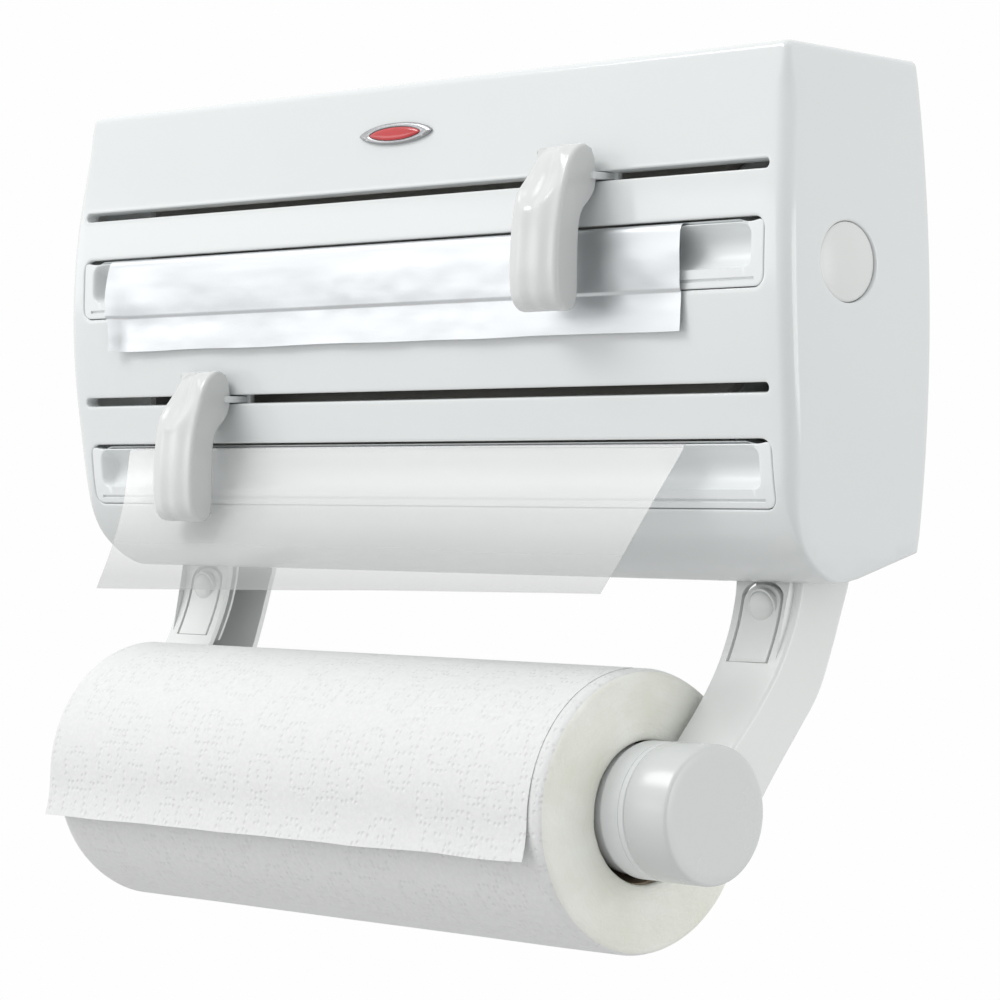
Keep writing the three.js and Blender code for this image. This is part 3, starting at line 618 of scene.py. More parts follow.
def shell_from_skin(verts, faces, thickness, lip, depth_of, lip_steps=3, upright=None):
    """A closed solid from an outer skin: an inner skin, and rounded lips along every free edge.
    depth_of gives how far the wall of a free edge reaches inwards at a point, and upright gives the
    direction that such a wall stands against, if not the skin's own normal."""
    chamfer = 0.25
    bm = bmesh.new()
    made = [bm.verts.new(v) for v in verts]
    for face in faces:
        try:
            bm.faces.new([made[i] for i in face])
        except ValueError:
            pass
    bmesh.ops.remove_doubles(bm, verts=bm.verts, dist=1e-3)
    bmesh.ops.delete(bm, geom=[v for v in bm.verts if not v.link_faces], context="VERTS")
    bm.normal_update()
    bm.verts.index_update()
    points = [v.co.copy() for v in bm.verts]
    normals = [v.normal.copy() for v in bm.verts]
    outer = [[v.index for v in f.verts] for f in bm.faces]
    count = len(points)
    out = points + [p - n * thickness for p, n in zip(points, normals)]
    skins = outer + [[i + count for i in face[::-1]] for face in outer]
    rim, away = [], {}
    for face in bm.faces:
        for loop in face.loops:
            if loop.edge.is_boundary:
                a, b = loop.vert.index, loop.link_loop_next.vert.index
                rim.append((a, b))
                side = (points[b] - points[a]).cross(face.normal)
                for i in (a, b):
                    away[i] = away.get(i, Vector()) + side.normalized()
    chain = {}
    for i, direction in away.items():
        p, n = points[i], normals[i]
        if upright:
            n = upright(p)
            direction = direction - n * direction.dot(n)
        d = direction.normalized()
        deep = depth_of(p)
        line = []
        for k in range(1, lip_steps + 1):
            angle = TAU / 4 * k / lip_steps
            line.append(p + d * lip * math.sin(angle) - n * lip * (1 - math.cos(angle)))
        line += [p + d * lip - n * (deep - chamfer), p + d * (lip - chamfer) - n * deep]
        if deep > thickness + 0.5:
            line.append(p - n * deep)
        chain[i] = [i] + list(range(len(out), len(out) + len(line))) + [i + count]
        out += line
    for a, b in rim:
        if len(chain[a]) != len(chain[b]):
            continue
        for k in range(len(chain[a]) - 1):
            skins.append([chain[b][k], chain[a][k], chain[a][k + 1], chain[b][k + 1]])
    bm.free()
    return [tuple(v) for v in out], skins


def hood_holes():
    """Slots and windows, and their support loops, in (X, distance along the hood's line)."""
    bars = [(SLOT_HALF, SLOT_HEIGHT, SLOT_CORNER, z) for z in SLOT_Z.values()]
    bars += [(WINDOW_HALF, WINDOW_HEIGHT, WINDOW_CORNER, z) for z in WINDOW_Z.values()]
    found = []
    for grow in (HOOD_LIP, HOOD_LIP + 1.0):
        found.append([[(x, s_of_z(z)) for x, z in bar_outline(*bar, grow)] for bar in bars])
    return found


def notch(x0, x1, s_edge, s_in):
    """Points of a notch cut into the rear edge, from x0 to x1, with rounded inner corners."""
    return rounded([(x0, s_edge), (x0, s_in), (x1, s_in), (x1, s_edge)], 3.0, 5)


def hood_boundary():
    """The outline of the front, top and bottom skin, in (X, distance along the line)."""
    total = LINE_S[-1]
    right = [(half_width(z) - corner_radius(z), s) for z, s in zip(LINE[:, 1], LINE_S)]
    left = [(-x, s) for x, s in right]
    ear = s_of_top(EAR_NOTCH_Y)
    arm = LINE_S[np.argmin(np.abs(LINE[:, 0] - ARM_NOTCH_Y) + (LINE[:, 1] > 0) * 500)]
    top = notch(EAR_X + EAR_NOTCH_HALF, EAR_X - EAR_NOTCH_HALF, 0, ear)
    bottom = notch(ARM_NOTCH_IN, ARM_NOTCH_OUT, total, arm)
    loop = [left[0]] + [(-x, s) for x, s in top] + top[::-1]
    return loop + right + bottom[::-1] + [(-x, s) for x, s in bottom] + left[1:][::-1]


def hood_skin():
    """The front, top and bottom skin; its long rear edges are divided as finely as its inside."""
    outer = hood_boundary()
    dense = []
    for a, b in zip(outer, outer[1:] + outer[:1]):
        dense.append(a)
        if abs(a[1] - b[1]) < 1e-6 and abs(a[0] - b[0]) > 7:
            count = math.ceil(abs(a[0] - b[0]) / 6)
            dense += [(a[0] + (b[0] - a[0]) * k / count, a[1]) for k in range(1, count)]
    holes, supports = hood_holes()
    grid = [(x, s) for s in LINE_S[1:-1] for x in np.linspace(-183, 183, 62)]
    points, tris = filled_region(dense, holes, grid, supports)
    return [(x, *line_at(s)) for x, s in points], tris


def around_button(radius):
    """A circle about the side button's axis, in (Y, Z)."""
    angles = [TAU * k / 64 for k in range(64)]
    return [(BUTTON_Y + radius * math.cos(a), BUTTON_Z + radius * math.sin(a)) for a in angles]


def hood_sides():
    """Round corners and bulging side walls, with the button hole on each side."""
    steps = 6
    verts, faces = [], []
    grid_rows = len(LINE)
    for _, side in SIDES:
        base = len(verts)
        for k in range(steps + 1):
            angle = TAU / 4 * k / steps
            for (y, z), n in zip(LINE, LINE_N):
                r = corner_radius(z)
                inward = r * (1 - math.cos(angle))
                at_z = z - n[1] * inward
                x = half_width(z) - r + (r + half_width(at_z) - half_width(z)) * math.sin(angle)
                verts.append((side * x, y - n[0] * inward, at_z))
        for k in range(steps):
            for j in range(grid_rows - 1):
                a, b = base + k * grid_rows + j, base + (k + 1) * grid_rows + j
                face = (a, a + 1, b + 1, b)
                faces.append(face if side > 0 else face[::-1])
        edge = [verts[base + steps * grid_rows + j][1:] for j in range(grid_rows)]
        low, high = edge[-1][1] + 5, edge[0][1] - 5
        loop = edge + [(HOOD_REAR, z) for z in np.linspace(low, high, 28)]
        hole, ring = around_button(BUTTON_RADIUS + 0.75), around_button(BUTTON_RADIUS + 1.7)
        grid = [(y, z) for y in np.arange(-66, -2, 5.0) for z in np.arange(-82, 84, 5.0)]
        points, tris = filled_region(loop, [hole], grid, [ring], 1.0)
        flat = [(side * half_width(z), y, z) for y, z in points]
        base = len(verts)
        verts += flat
        for tri in facing(flat, tris, lambda middle: Vector((side, 0, 0))):
            faces.append(tuple(base + i for i in tri))
    return verts, faces


def hood_rim_depth(p):
    """How far the wall of a free edge reaches in: the cutter slots have deep guide walls."""
    in_slot = p.y < -60 and any(abs(p.z - z) < 3 for z in SLOT_Z.values())
    return SLOT_DEPTH if in_slot else WALL


def make_hood():
    verts, tris = hood_skin()
    faces = facing(verts, tris, lambda middle: Vector((0, middle.y + 35, middle.z)))
    side_verts, side_faces = hood_sides()
    faces += [tuple(len(verts) + i for i in face) for face in side_faces]
    out, skins = shell_from_skin(verts + side_verts, faces, WALL, HOOD_LIP, hood_rim_depth)
    piece("hood_shell_skin", out, skins, "hood", "white_plastic", HOOD_WHITE, ["hood_shell"], 32)


def make_hood_fittings():
    """What is moulded inside the hood: guide cups for the buttons, hinge knuckles, and ribs."""
    cup = [(174, 4.7), (174, 13.8), (185.4, 13.8), (185.4, 12.7), (176, 12.7), (176, 4.7), (174, 4.7)]
    half = [(-2.8, 1.85), (-2.8, 2.9), (-2.4, 3.35)]
    knuckle = half + [(-x, r) for x, r in half[::-1]] + half[:1]
    soup = Soup()
    for _, sign in SIDES:
        part = Soup().add(*turned(cup, BUTTON_Y, BUTTON_Z, 64))
        for way in (-1, 1):
            middle = EAR_X + way * 6.2
            part.add(*turned([(middle + x, r) for x, r in knuckle], PIVOT_Y, PIVOT_Z, 32))
            block(part, (middle - 2.6, PIVOT_Y - 3.1, 78.6), (middle + 2.6, PIVOT_Y + 3.1, 81.5), 0.3)
        part.sided(sign)
        soup.add(part.verts, part.faces)
    piece("hood_fittings", soup.verts, soup.faces, "hood", "white_plastic", HOOD_WHITE)


# ---- trays
def tray_outline(z, grow, step=5.0):
    """A window's insert, which leaves a slit along the window's top edge, where the sheet comes out."""
    top, low = z + WINDOW_HEIGHT / 2 - TRAY_SEAM, z - WINDOW_HEIGHT / 2 + TRAY_SEAM
    slit, w = top - SLIT_HEIGHT, WINDOW_HALF - TRAY_SEAM
    right = [((w, low), 4.2), ((w, top - 0.4), 2.6), ((SLIT_HALF - 1.5, slit), 1.2)]
    corners = right + [((-x, height), radius) for (x, height), radius in right[::-1]]
    loop = []
    for i, (at, radius) in enumerate(corners):
        p, a, b = (np.array(q, float) for q in (at, corners[i - 1][0], corners[(i + 1) % 6][0]))
        da, db = (a - p) / np.linalg.norm(a - p), (b - p) / np.linalg.norm(b - p)
        loop += [tuple(bend(p + da * radius, p, p + db * radius, t)) for t in np.linspace(0, 1, 7)]
    return spaced([tuple(p) for p in inset_loop(loop, -grow)], step)


def trough_middle(centre):
    return centre + WINDOW_HEIGHT / 2 - TROUGH_TOP - TROUGH_RADIUS


def tray_depth(x, z, centre):
    """How far the tray's face lies behind the hood's surface: a trough with round corners, a groove."""
    dz = abs(z - trough_middle(centre))
    depth = TRAY_RECESS
    if dz < TROUGH_RADIUS:
        straight = max(0.0, dz - (TROUGH_RADIUS - TROUGH_CORNER))
        half = TROUGH_HALF - TROUGH_CORNER + math.sqrt(max(0.0, TROUGH_CORNER ** 2 - straight ** 2))
        wall = smoothstep((half - abs(x)) / 3.2)
        depth += TROUGH_DEPTH * (1 - (dz / TROUGH_RADIUS) ** 2.2) ** 0.6 * wall
    groove = abs(z - (centre - WINDOW_HEIGHT / 2 + GROOVE_UP))
    if groove < GROOVE_HALF and abs(x) < TROUGH_HALF + 1:
        depth += GROOVE_DEPTH * smoothstep((GROOVE_HALF - groove) / 0.35)
    return depth


def make_tray(which):
    """An insert that follows the hood's slope; its points lie along the trough and the groove."""
    centre = WINDOW_Z[which]
    middle, groove = trough_middle(centre), centre - WINDOW_HEIGHT / 2 + GROOVE_UP
    heights = [middle + TROUGH_RADIUS * math.sin(a) for a in np.linspace(-TAU / 4, TAU / 4, 25)]
    heights += [groove + d for d in (-GROOVE_HALF, -0.45, -0.25, 0, 0.25, 0.45, GROOVE_HALF)]
    ends = [TROUGH_HALF + 1.01, TROUGH_HALF + 0.99]
    ends += [TROUGH_HALF - d for d in (0, 0.4, 0.8, 1.2, 1.6, 2.0, 2.5, 3.0, 3.6, 4.4, 5.4, 7.0)]
    xs = sorted(list(np.linspace(-162, 162, 55)) + ends + [-e for e in ends] + [175.2, -175.2])
    rows = [[(x, z) for x in xs] for z in heights]
    nowhere = [(0, centre + 99)]
    support = tray_outline(centre, -TRAY_LIP - 0.45)
    points, tris = filled_region(tray_outline(centre, -TRAY_LIP), [], nowhere, [support], 0.2, rows)
    verts = []
    for x, z in points:
        depth = tray_depth(x, z, centre)
        (y, height), n = line_at(s_of_z(z)), normal_at(s_of_z(z))
        verts.append((x, y - n[0] * depth, height - n[1] * depth))
    faces = facing(verts, tris, lambda middle: Vector((0, -1, 0)))
    upright = lambda p: Vector((0, *normal_at(s_of_z(p.z))))
    out, skins = shell_from_skin(verts, faces, TRAY_WALL, TRAY_LIP, lambda p: TRAY_RIM, 2, upright)
    piece(f"{which}_tray_insert", out, skins, "hood", "tray_plastic", TRAY_WHITE, [f"{which}_tray"], 50)


# ---- badge and side buttons
def badge_oval(half_length, half_height, lift, count=72):
    """A pointed oval on the hood's sloping front, lifted off it by a distance."""
    slope = math.atan2(front_y(BADGE_Z + 4) - front_y(BADGE_Z - 4), 8)
    ring = []
    for k in range(count):
        angle = TAU * k / count
        x = half_length * math.copysign(abs(math.cos(angle)) ** 0.92, math.cos(angle))
        up = half_height * math.copysign(abs(math.sin(angle)) ** 1.35, math.sin(angle))
        ring.append((x + BADGE_X, front_y(BADGE_Z) + up * math.sin(slope) - lift * math.cos(slope),
                     BADGE_Z + up * math.cos(slope) - lift * math.sin(slope)))
    return ring


def make_badge():
    """A pointed oval rim with a red oval set in it, from (half length, half height, lift)."""
    rim = [(18.6, 3.5, 0.05), (19.0, 3.8, 0.3), (19.0, 3.8, 0.8), (18.2, 3.4, 1.25), (15.0, 2.75, 1.4),
           (13.6, 2.45, 1.2), (13.4, 2.4, 0.7)]
    inlay = [(13.2, 2.3, 0.75), (13.1, 2.25, 1.25), (12.2, 1.9, 1.5), (9.5, 1.2, 1.62), (5, 0.5, 1.66)]
    for name, rings, slot, material in (("rim", rim, "badge_metal", BADGE_METAL),
                                        ("inlay", inlay, "badge_red", BADGE_RED)):
        shape = rings_mesh([badge_oval(*ring) for ring in rings])
        piece(f"badge_{name}_oval", *shape, "hood", slot, material, [f"badge_{name}"], 50)


def make_side_buttons():
    """Caps with a guide stem, a skirt and a slightly domed face."""
    face = half_width(BUTTON_Z)
    r = BUTTON_RADIUS
    dome = r - 1.1
    profile = [(170.7, 0.01), (170.7, 4.6), (171.5, 5.3), (173.7, 5.3), (173.7, 4.0), (184.5, 4.0),
               (184.5, r - 0.05), (face - 1.5, r - 0.05), (face - 1.05, r - 0.15), (face - 0.8, r - 0.6)]
    profile += [(face - 0.78 + 0.85 * (1 - (k / 10) ** 2), dome * k / 10) for k in range(10, 0, -1)]
    profile.append((face + 0.07, 0.01))
    for name, sign in SIDES:
        sided_piece(f"side_button_{name}_cap", sign, turned(profile, BUTTON_Y, BUTTON_Z, 96),
                    f"{name}_button", "button_plastic", BUTTON_WHITE, [f"side_button_{name}"], 40)


def coil(x0, x1, radius, turns, wire, y, z, steps_per_turn=28, sides=8):
    """A round-wire coil along X with closed ends."""
    count = int(turns * steps_per_turn)
    rings = []
    for k in range(count + 1):
        angle = TAU * k / steps_per_turn
        t = k / count
        centre = Vector((x0 + (x1 - x0) * t, y + radius * math.cos(angle), z + radius * math.sin(angle)))
        out = Vector((0, math.cos(angle), math.sin(angle)))
        ring = []
        for j in range(sides):
            a = TAU * j / sides
            ring.append(tuple(centre + out * wire * math.cos(a) + Vector((1, 0, 0)) * wire * math.sin(a)))
        rings.append(ring)
    return rings_mesh(rings)


def make_button_springs():
    for name, sign in SIDES:
        shape = coil(SPRING_SEAT + 0.5, SPRING_TOP, 8, 3, 0.45, BUTTON_Y, BUTTON_Z)
        made = sided_piece(f"button_spring_{name}_coil", sign, shape, "hood", "steel", SPRING_STEEL,
                           [f"button_spring_{name}"])
        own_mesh(made)


# ---- cutters
CUTTER_FRONT = [(-73.4, 9.0), (-77.2, 10.4), (-81.0, 9.2), (-84.4, 5.2), (-86.8, -1), (-88.8, -8),
                (-90.3, -16), (-91.1, -25), (-91.3, -33), (-90.5, -39.5), (-88.0, -43.3), (-84.6, -44.3)]
CUTTER_REAR = [(-81.6, -42.9), (-80.2, -38.5), (-79.9, -30), (-79.6, -21), (-78.9, -15), (-77.4, -11.2),
               (-74.6, -8.2), (-72.3, -5.0), (-71.4, -0.5), (-71.8, 4.6)]


def cutter_loop():
    """The grip's side view, and how much each of its points belongs to the front, from 0 to 1."""
    line = spline(CUTTER_FRONT + CUTTER_REAR + CUTTER_FRONT[:1], 5)[:-1]
    weights = [smoothstep(((-79.0 if z < -9 else -75.0) - y) / 5) for y, z in line]
    return np.array(line), np.array(weights)


def thumb_press(u, z):
    """How far the thumb rest sinks the grip's front: a bowl, and a scoop towards its upper left."""
    away = ((u + 2.2) / 10.6) ** 2 + ((z - 0.3) / 11.0) ** 2
    bowl = 3.6 * max(0.0, 1 - away) ** 1.05
    scoop = 4.4 * smoothstep((z + 5.0) / 14) * max(0.0, (6.5 - u) / 18.5) ** 1.4
    return bowl + scoop


def make_cutter_grip(which):
    """Side views lofted across the grip, with round edges, shallow ribs and a thumb rest."""
    x0, z0 = CUTTER_X[which], SLOT_Z[which]
    loop, front = cutter_loop()
    stations = [-12, -11.97, -11.85, -11.6, -11.2, -10.6, -9.8, -8.8, -7.8, -6.6, -5.4, -4.2, -3, -1.8, -0.6]
    stations += [-s for s in stations[::-1]]
    rear_edge, left_edge, right_edge, wall_y = 1.1, 3.6, 1.7, -75.6
    rings = []
    for u in stations:
        radius = rear_edge + ((left_edge if u < 0 else right_edge) - rear_edge) * front
        past = np.clip(abs(u) - (CUTTER_HALF - radius), 0, radius)
        ring = inset_loop(loop, radius * (1 - np.sqrt(np.maximum(0, 1 - (past / radius) ** 2))))
        ring[:, 0] += (1.3 * (u / CUTTER_HALF) ** 2 + 0.25 * math.cos(u * 0.75)) * front
        for i, (y, z) in enumerate(ring):
            ring[i] += np.array([0.95, -0.32]) * min(max(0.0, wall_y - y), thumb_press(u, z) * front[i])
        rings.append([(x0 + u, y, z0 + z) for y, z in ring])
    piece(f"{which}_cutter_grip", *rings_mesh(rings), f"{which}_cutter", "cutter_plastic", CUTTER_WHITE,
          [f"{which}_cutter_body"], 42)


def make_cutter_slider(which):
    """The stem through the slot, its shoe behind the wall, and the tab beside the grip."""
    x, z = CUTTER_X[which], SLOT_Z[which]
    soup = Soup()
    block(soup, (x - 10, -77.5, z - 1.2), (x + 10, -64.9, z + 1.2), 0.35)
    block(soup, (x - 15, -64.9, z - 5), (x + 15, -62.7, z + 5), 0.5)
    block(soup, (x + 9.3, -74.5, z - 1.15), (x + 13.5, -64.6, z + 1.15), 0.35)
    piece(f"{which}_cutter_shoe", soup.verts, soup.faces, f"{which}_cutter", "tray_plastic", TRAY_WHITE,
          [f"{which}_cutter_slider"])


def make_cutter_blade(which):
    """A thin steel blade with ground edges, standing out of the grip's rear."""
    x, z = CUTTER_X[which], SLOT_Z[which]
    outline = [(-86, -31), (-80.2, -31), (-76.6, -35.5), (-76.4, -36.1), (-76.6, -36.7), (-80.2, -41),
               (-86, -41)]
    rings = []
    for u, shrink in ((-0.28, 1.3), (-0.04, 0), (0.04, 0), (0.28, 1.3)):
        rings.append([(x + u, y + shrink * (-1 if y > -80 else 0), z + h) for y, h in outline])
    piece(f"{which}_cutter_edge", *rings_mesh(rings), f"{which}_cutter", "steel", STEEL,
          [f"{which}_cutter_blade"])


# ---- rolls in the hood
def tube(left, right, inner, outer, soft):
    """The closed profile of a card tube with softened outer edges."""
    return [(left, inner), (left, outer - soft), (left + 0.2, outer), (right - 0.2, outer),
            (right, outer - soft), (right, inner), (left, inner)]


def make_spool(kind, spool, wound):
    """A card tube with its winding and an end plug on each side."""
    left, right, y, z = spool["left"], spool["right"], spool["y"], spool["z"]
    outer, inner, radius = spool["outer"], spool["inner"], spool["radius"]
    body = f"{kind}_spool"
    core = turned(tube(left + 0.3, right - 0.3, inner, outer, 0.15), y, z, 72)
    piece(f"{kind}_core_tube", *core, body, "card", CARD, [f"{kind}_core"])
    low = outer + 0.3
    profile = [(left, low), (left, radius - 0.5), (left + 0.4, radius - 0.05)]
    for k in range(1, 60):
        x = left + (right - left) * k / 60
        profile.append((x, radius - 0.06 + 0.05 * math.sin(k * 1.9) - 0.03 * (k % 3)))
    profile += [(right - 0.4, radius - 0.05), (right, radius - 0.5), (right, low), (left, low)]
    piece(f"{kind}_winding", *turned(profile, y, z, 72), body, kind, wound, [f"{kind}_roll"])
    for (name, sign), end in zip(SIDES, (-left, right)):
        plug = [(end - 12, 0.01), (end - 12, inner - 1.4), (end - 11, inner - 0.3), (end + 0.3, inner - 0.3),
                (end + 0.3, outer + 1.3), (end + 0.6, outer + 1.4), (end + 2.2, outer + 1.4),
                (end + 2.5, outer + 1.1), (end + 2.5, 6.4), (end + 3.4, 4.8), (167.4, 4.8), (168, 4.2),
                (168, 0.01)]
        sided_piece(f"{kind}_end_plug_{name}", sign, turned(plug, y, z, 48), body, "frame_plastic",
                    FRAME_WHITE, [f"{kind}_plug_{name}"])


# ---- sheets
def sheet_piece(name, rows, thickness, body, slot, material, replaces):
    """A thin closed sheet from a grid of points, rows[i][j]."""
    grid = np.array(rows, float)
    along = np.gradient(grid, axis=0)
    across = np.gradient(grid, axis=1)
    normal = np.cross(along, across)
    normal /= np.linalg.norm(normal, axis=2)[:, :, None]
    back = grid + normal * thickness
    n, m = grid.shape[:2]
    verts = [tuple(p) for p in grid.reshape(-1, 3)] + [tuple(p) for p in back.reshape(-1, 3)]
    at = lambda side, i, j: side * n * m + i * m + j
    faces = []
    for i in range(n - 1):
        for j in range(m - 1):
            faces.append((at(0, i, j), at(0, i, j + 1), at(0, i + 1, j + 1), at(0, i + 1, j)))
            faces.append((at(1, i, j), at(1, i + 1, j), at(1, i + 1, j + 1), at(1, i, j + 1)))
    for i in range(n - 1):
        faces.append((at(0, i, 0), at(0, i + 1, 0), at(1, i + 1, 0), at(1, i, 0)))
        faces.append((at(0, i, m - 1), at(1, i, m - 1), at(1, i + 1, m - 1), at(0, i + 1, m - 1)))
    for j in range(m - 1):
        faces.append((at(0, 0, j), at(1, 0, j), at(1, 0, j + 1), at(0, 0, j + 1)))
        faces.append((at(0, n - 1, j), at(0, n - 1, j + 1), at(1, n - 1, j + 1), at(1, n - 1, j)))
    return piece(name, verts, faces, body, slot, material, replaces, 60)


def ripple(x, z, seed, size):
    return noise.noise(Vector((x / size, z / size, seed)))


def foil_push(x, z, fold_z=8.7):
    """How far the foil lies behind its mean line: dents, and a step at the tray's lower edge."""
    hang = smoothstep((27 - z) / 10)
    wave = ripple(x, z * 1.4, 3.1, 34) * 0.55 + ripple(x, z, 7.7, 13) * 0.3 + ripple(x, z, 1.3, 5) * 0.1
    return -0.35 * hang + min(0.45, max(-0.5, wave)) * hang + 0.6 * smoothstep((fold_z - z) / 0.9)


def make_foil_sheet():
    """The foil's end: out of the slit, over the tray, creased by the tray's lower edge."""
    line = spline([(-63.0, 29.6), (-68.2, 29.6), (-71.2, 29.5), (-72.7, 28.0), (-73.1, 24), (-73.1, 18),
                   (-73.0, 12), (-72.8, 8.3), (-72.8, 5), (-73.0, 1), (-73.3, -4.6)], 8)
    left, right = FOIL["left"], FOIL["right"]
    rows = []
    for i, (y, z) in enumerate(line):
        row = []
        t = i / (len(line) - 1)
        for j in range(121):
            x = left + (right - left) * j / 120
            curl = 1 - smoothstep((x - left) / 9)
            lift = -2.4 * curl * smoothstep((t - 0.25) / 0.5)
            x_edge = x - curl * 2.6 * math.sin(math.pi * min(1, t * 1.1))
            sag = 0.5 * ripple(x, 0, 5.5, 40) * smoothstep((t - 0.7) / 0.3)
            row.append((x_edge, y + foil_push(x, z) + lift, z + sag + 0.4 * curl * t))
        rows.append(row)
    made = sheet_piece("foil_end", rows, 0.12, "hood", "foil", FOIL_METAL, ["foil_sheet"])


def make_film_sheet():
    """The cling film's end: it leaves its slit and swings forward, further on the right."""
    start = [(-61.0, -40.6), (-66.2, -40.6), (-68.6, -41.4), (-69.6, -43.6)]
    left = spline(start + [(-72.6, -62), (-78.0, -78), (-84.9, -92.8)], 6)
    right = spline(start + [(-84.6, -62), (-95.0, -75.2), (-105.3, -87.8)], 6)
    rows = []
    for i, (a, b) in enumerate(zip(left, right)):
        t = i / (len(left) - 1)
        row = []
        for j in range(73):
            u = j / 72
            x = FILM_END_LEFT + FILM_END_WIDTH * u
            y, z = a[0] + (b[0] - a[0]) * u, a[1] + (b[1] - a[1]) * u
            wave = 0.8 * t * math.sin(x / 46 + 0.6) + 0.5 * t * ripple(x, z, 2.2, 45)
            row.append((x, y + wave * 0.6, z + wave * 0.25))
        rows.append(row)
    made = sheet_piece("film_end", rows, 0.08, "hood", "film", FILM_CLEAR, ["film_sheet"])
    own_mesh(made)


def make_paper_tail():
    """The paper's loose end: over the roll from its top, then hanging straight in front of it."""
    angles = np.linspace(TAU / 4, TAU / 2, 40)
    line = [(HEAD_Y + TAIL_RADIUS * math.cos(a), ROLL_Z + TAIL_RADIUS * math.sin(a)) for a in angles]
    line += [(HEAD_Y - TAIL_RADIUS - 0.02 * k * k, ROLL_Z - 1.3 * k) for k in range(1, 11)]
    rows = []
    for i, (y, z) in enumerate(line):
        t = i / (len(line) - 1)
        free = smoothstep((t - 0.55) / 0.45)
        out = Vector((0, y - HEAD_Y, z - ROLL_Z)).normalized()
        row = []
        for j in range(101):
            u = j / 100
            x = PAPER_END_LEFT + PAPER_END_WIDTH * u
            lift = 0.03 + 0.4 * free * (1 + ripple(x, z, 4.4, 38)) + 0.12 * free * ripple(x, z, 9.0, 9)
            drop = -1.6 * (1 - u) * t ** 4 + 0.5 * free * t * ripple(x, 0, 6.1, 30)
            row.append((x, y + out.y * lift, z + out.z * lift + drop))
        rows.append(row)
    made = sheet_piece("paper_end", rows, -0.16, "paper_spool", "paper", PAPER_WHITE, ["paper_tail"])


# ---- paper roll
def paper_profile():
    """The paper roll's closed profile: soft rounded ends and a straight outside."""
    half, radius = ROLL_HALF, ROLL_RADIUS
    ends = [(half - 5.5, 24.4), (half - 4, 24.2), (half - 2.5, ROLL_BORE), (half - 0.9, ROLL_BORE + 0.1),
            (half - 0.3, ROLL_BORE + 0.9), (half - 0.1, ROLL_BORE + 3), (half, 30), (half - 0.15, 36),
            (half - 0.35, 41), (half - 0.8, 43.8), (half - 1.8, 45.4), (half - 3.2, 46.0),
            (half - 4.4, radius)]
    outside = [(x, radius) for x in np.linspace(-half + 7, half - 7, 61)]
    return [(-x, r) for x, r in ends] + outside + ends[::-1]


def make_paper_roll():
    core = turned(tube(-125.6, 125.6, 23, 24.1, 0.2), HEAD_Y, ROLL_Z, 96)
    piece("paper_core_tube", *core, "paper_spool", "card", CARD, ["paper_core"])
    rings = []
    for x, r in paper_profile():
        ring = []
        for k in range(160):
            c, s = math.cos(TAU * k / 160), math.sin(TAU * k / 160)
            lump = noise.noise(Vector((x / 40, 2.2 * c, 2.2 * s)))
            soft = r + 0.12 * smoothstep((r - 26) / 12) * (lump - 1)
            dip = 0.3 * abs(noise.noise(Vector((r / 5, 3 * c, 3 * s)))) if abs(x) > 126 else 0
            ring.append((x - math.copysign(dip, x), HEAD_Y + soft * c, ROLL_Z + soft * s))
        rings.append(ring)
    piece("paper_winding", *rings_mesh(rings, closed=True), "paper_spool", "paper",
          [PAPER_WHITE, PAPER_ENDS], ["paper_roll"], 60, lambda centre: int(abs(centre.x) > 127.8))


# ---- arms
ARM_FRONT = [(-36.7, -57.4), (-36.7, -72), (-36.9, -85.6), (-38.3, -93.9), (-41.2, -102.9), (-46.5, -113.8),
             (-54.7, -125.3), (-65.4, -137.4)]
ARM_REAR = [(-52.0, -158.5), (-49.6, -154), (-42.4, -144), (-34, -133.2), (-25.6, -121.6), (-20.3, -108.3),
            (-16.1, -95), (-13.2, -85), (-12.6, -72), (-12.6, -57.4)]


def arm_loop():
    front = spline(ARM_FRONT, 5)
    rear = spline(ARM_REAR, 5)
    end = [(-72, -148), (-73, -158), (-62, -160)]
    top = [(-17, -57.4), (-24, -57.4), (-31, -57.4)]
    return np.array(front + end + rear + top)


def arm_x(u, z):
    """Narrows the arm towards its lower end, keeping its inner side upright."""
    share = min(1.0, max(0.0, (-85 - z) / 73))
    width = 29.0 - 4.5 * share
    return 133.0 + (u - 133.0) * width / 29.0


def make_arm(name, sign):
    """A channel open to the inside, with a window for the latch and a web behind it."""
    loop = arm_loop()
    angles = [TAU / 4 * k / 6 for k in range(7)]
    rings = [(162 - 1.6 + 1.6 * math.cos(a), 1.6 * (1 - math.sin(a))) for a in angles]
    rings += [(x, 0.0) for x in (155, 149, 143, 137)]
    rings += [(133.45, 0.0), (133.12, 0.12), (133.0, 0.45), (133.0, 1.75), (133.12, 2.08), (133.45, WALL)]
    rings += [(x, WALL) for x in (140, 148, 158.2)] + [(159.4, 2.6), (159.8, 3.6)]
    built = []
    for u, inset in rings:
        built.append([(sign * arm_x(u, z), y, z) for y, z in inset_loop(loop, inset)])
    made = piece(f"arm_{name}_channel", *rings_mesh(built), f"{name}_arm", "arm_plastic", ARM_WHITE,
                 [f"arm_{name}"], 40)
    cut_out(made, *latch_prism(sign, 1.2, 0.12))
    made.data.set_sharp_from_angle(angle=math.radians(40))
    even_normals(made)
    heights = list(np.linspace(-83.5, -113.0, 14))
    corners = [(136.0, z) for z in heights] + [(155.4, z) for z in heights[::-1]]
    web = [[(sign * x, arm_front_y(z) + back, z) for x, z in corners] for back in (6.3, 7.2)]
    piece(f"arm_{name}_latch_web", *rings_mesh(web), f"{name}_arm", "arm_plastic", ARM_WHITE)


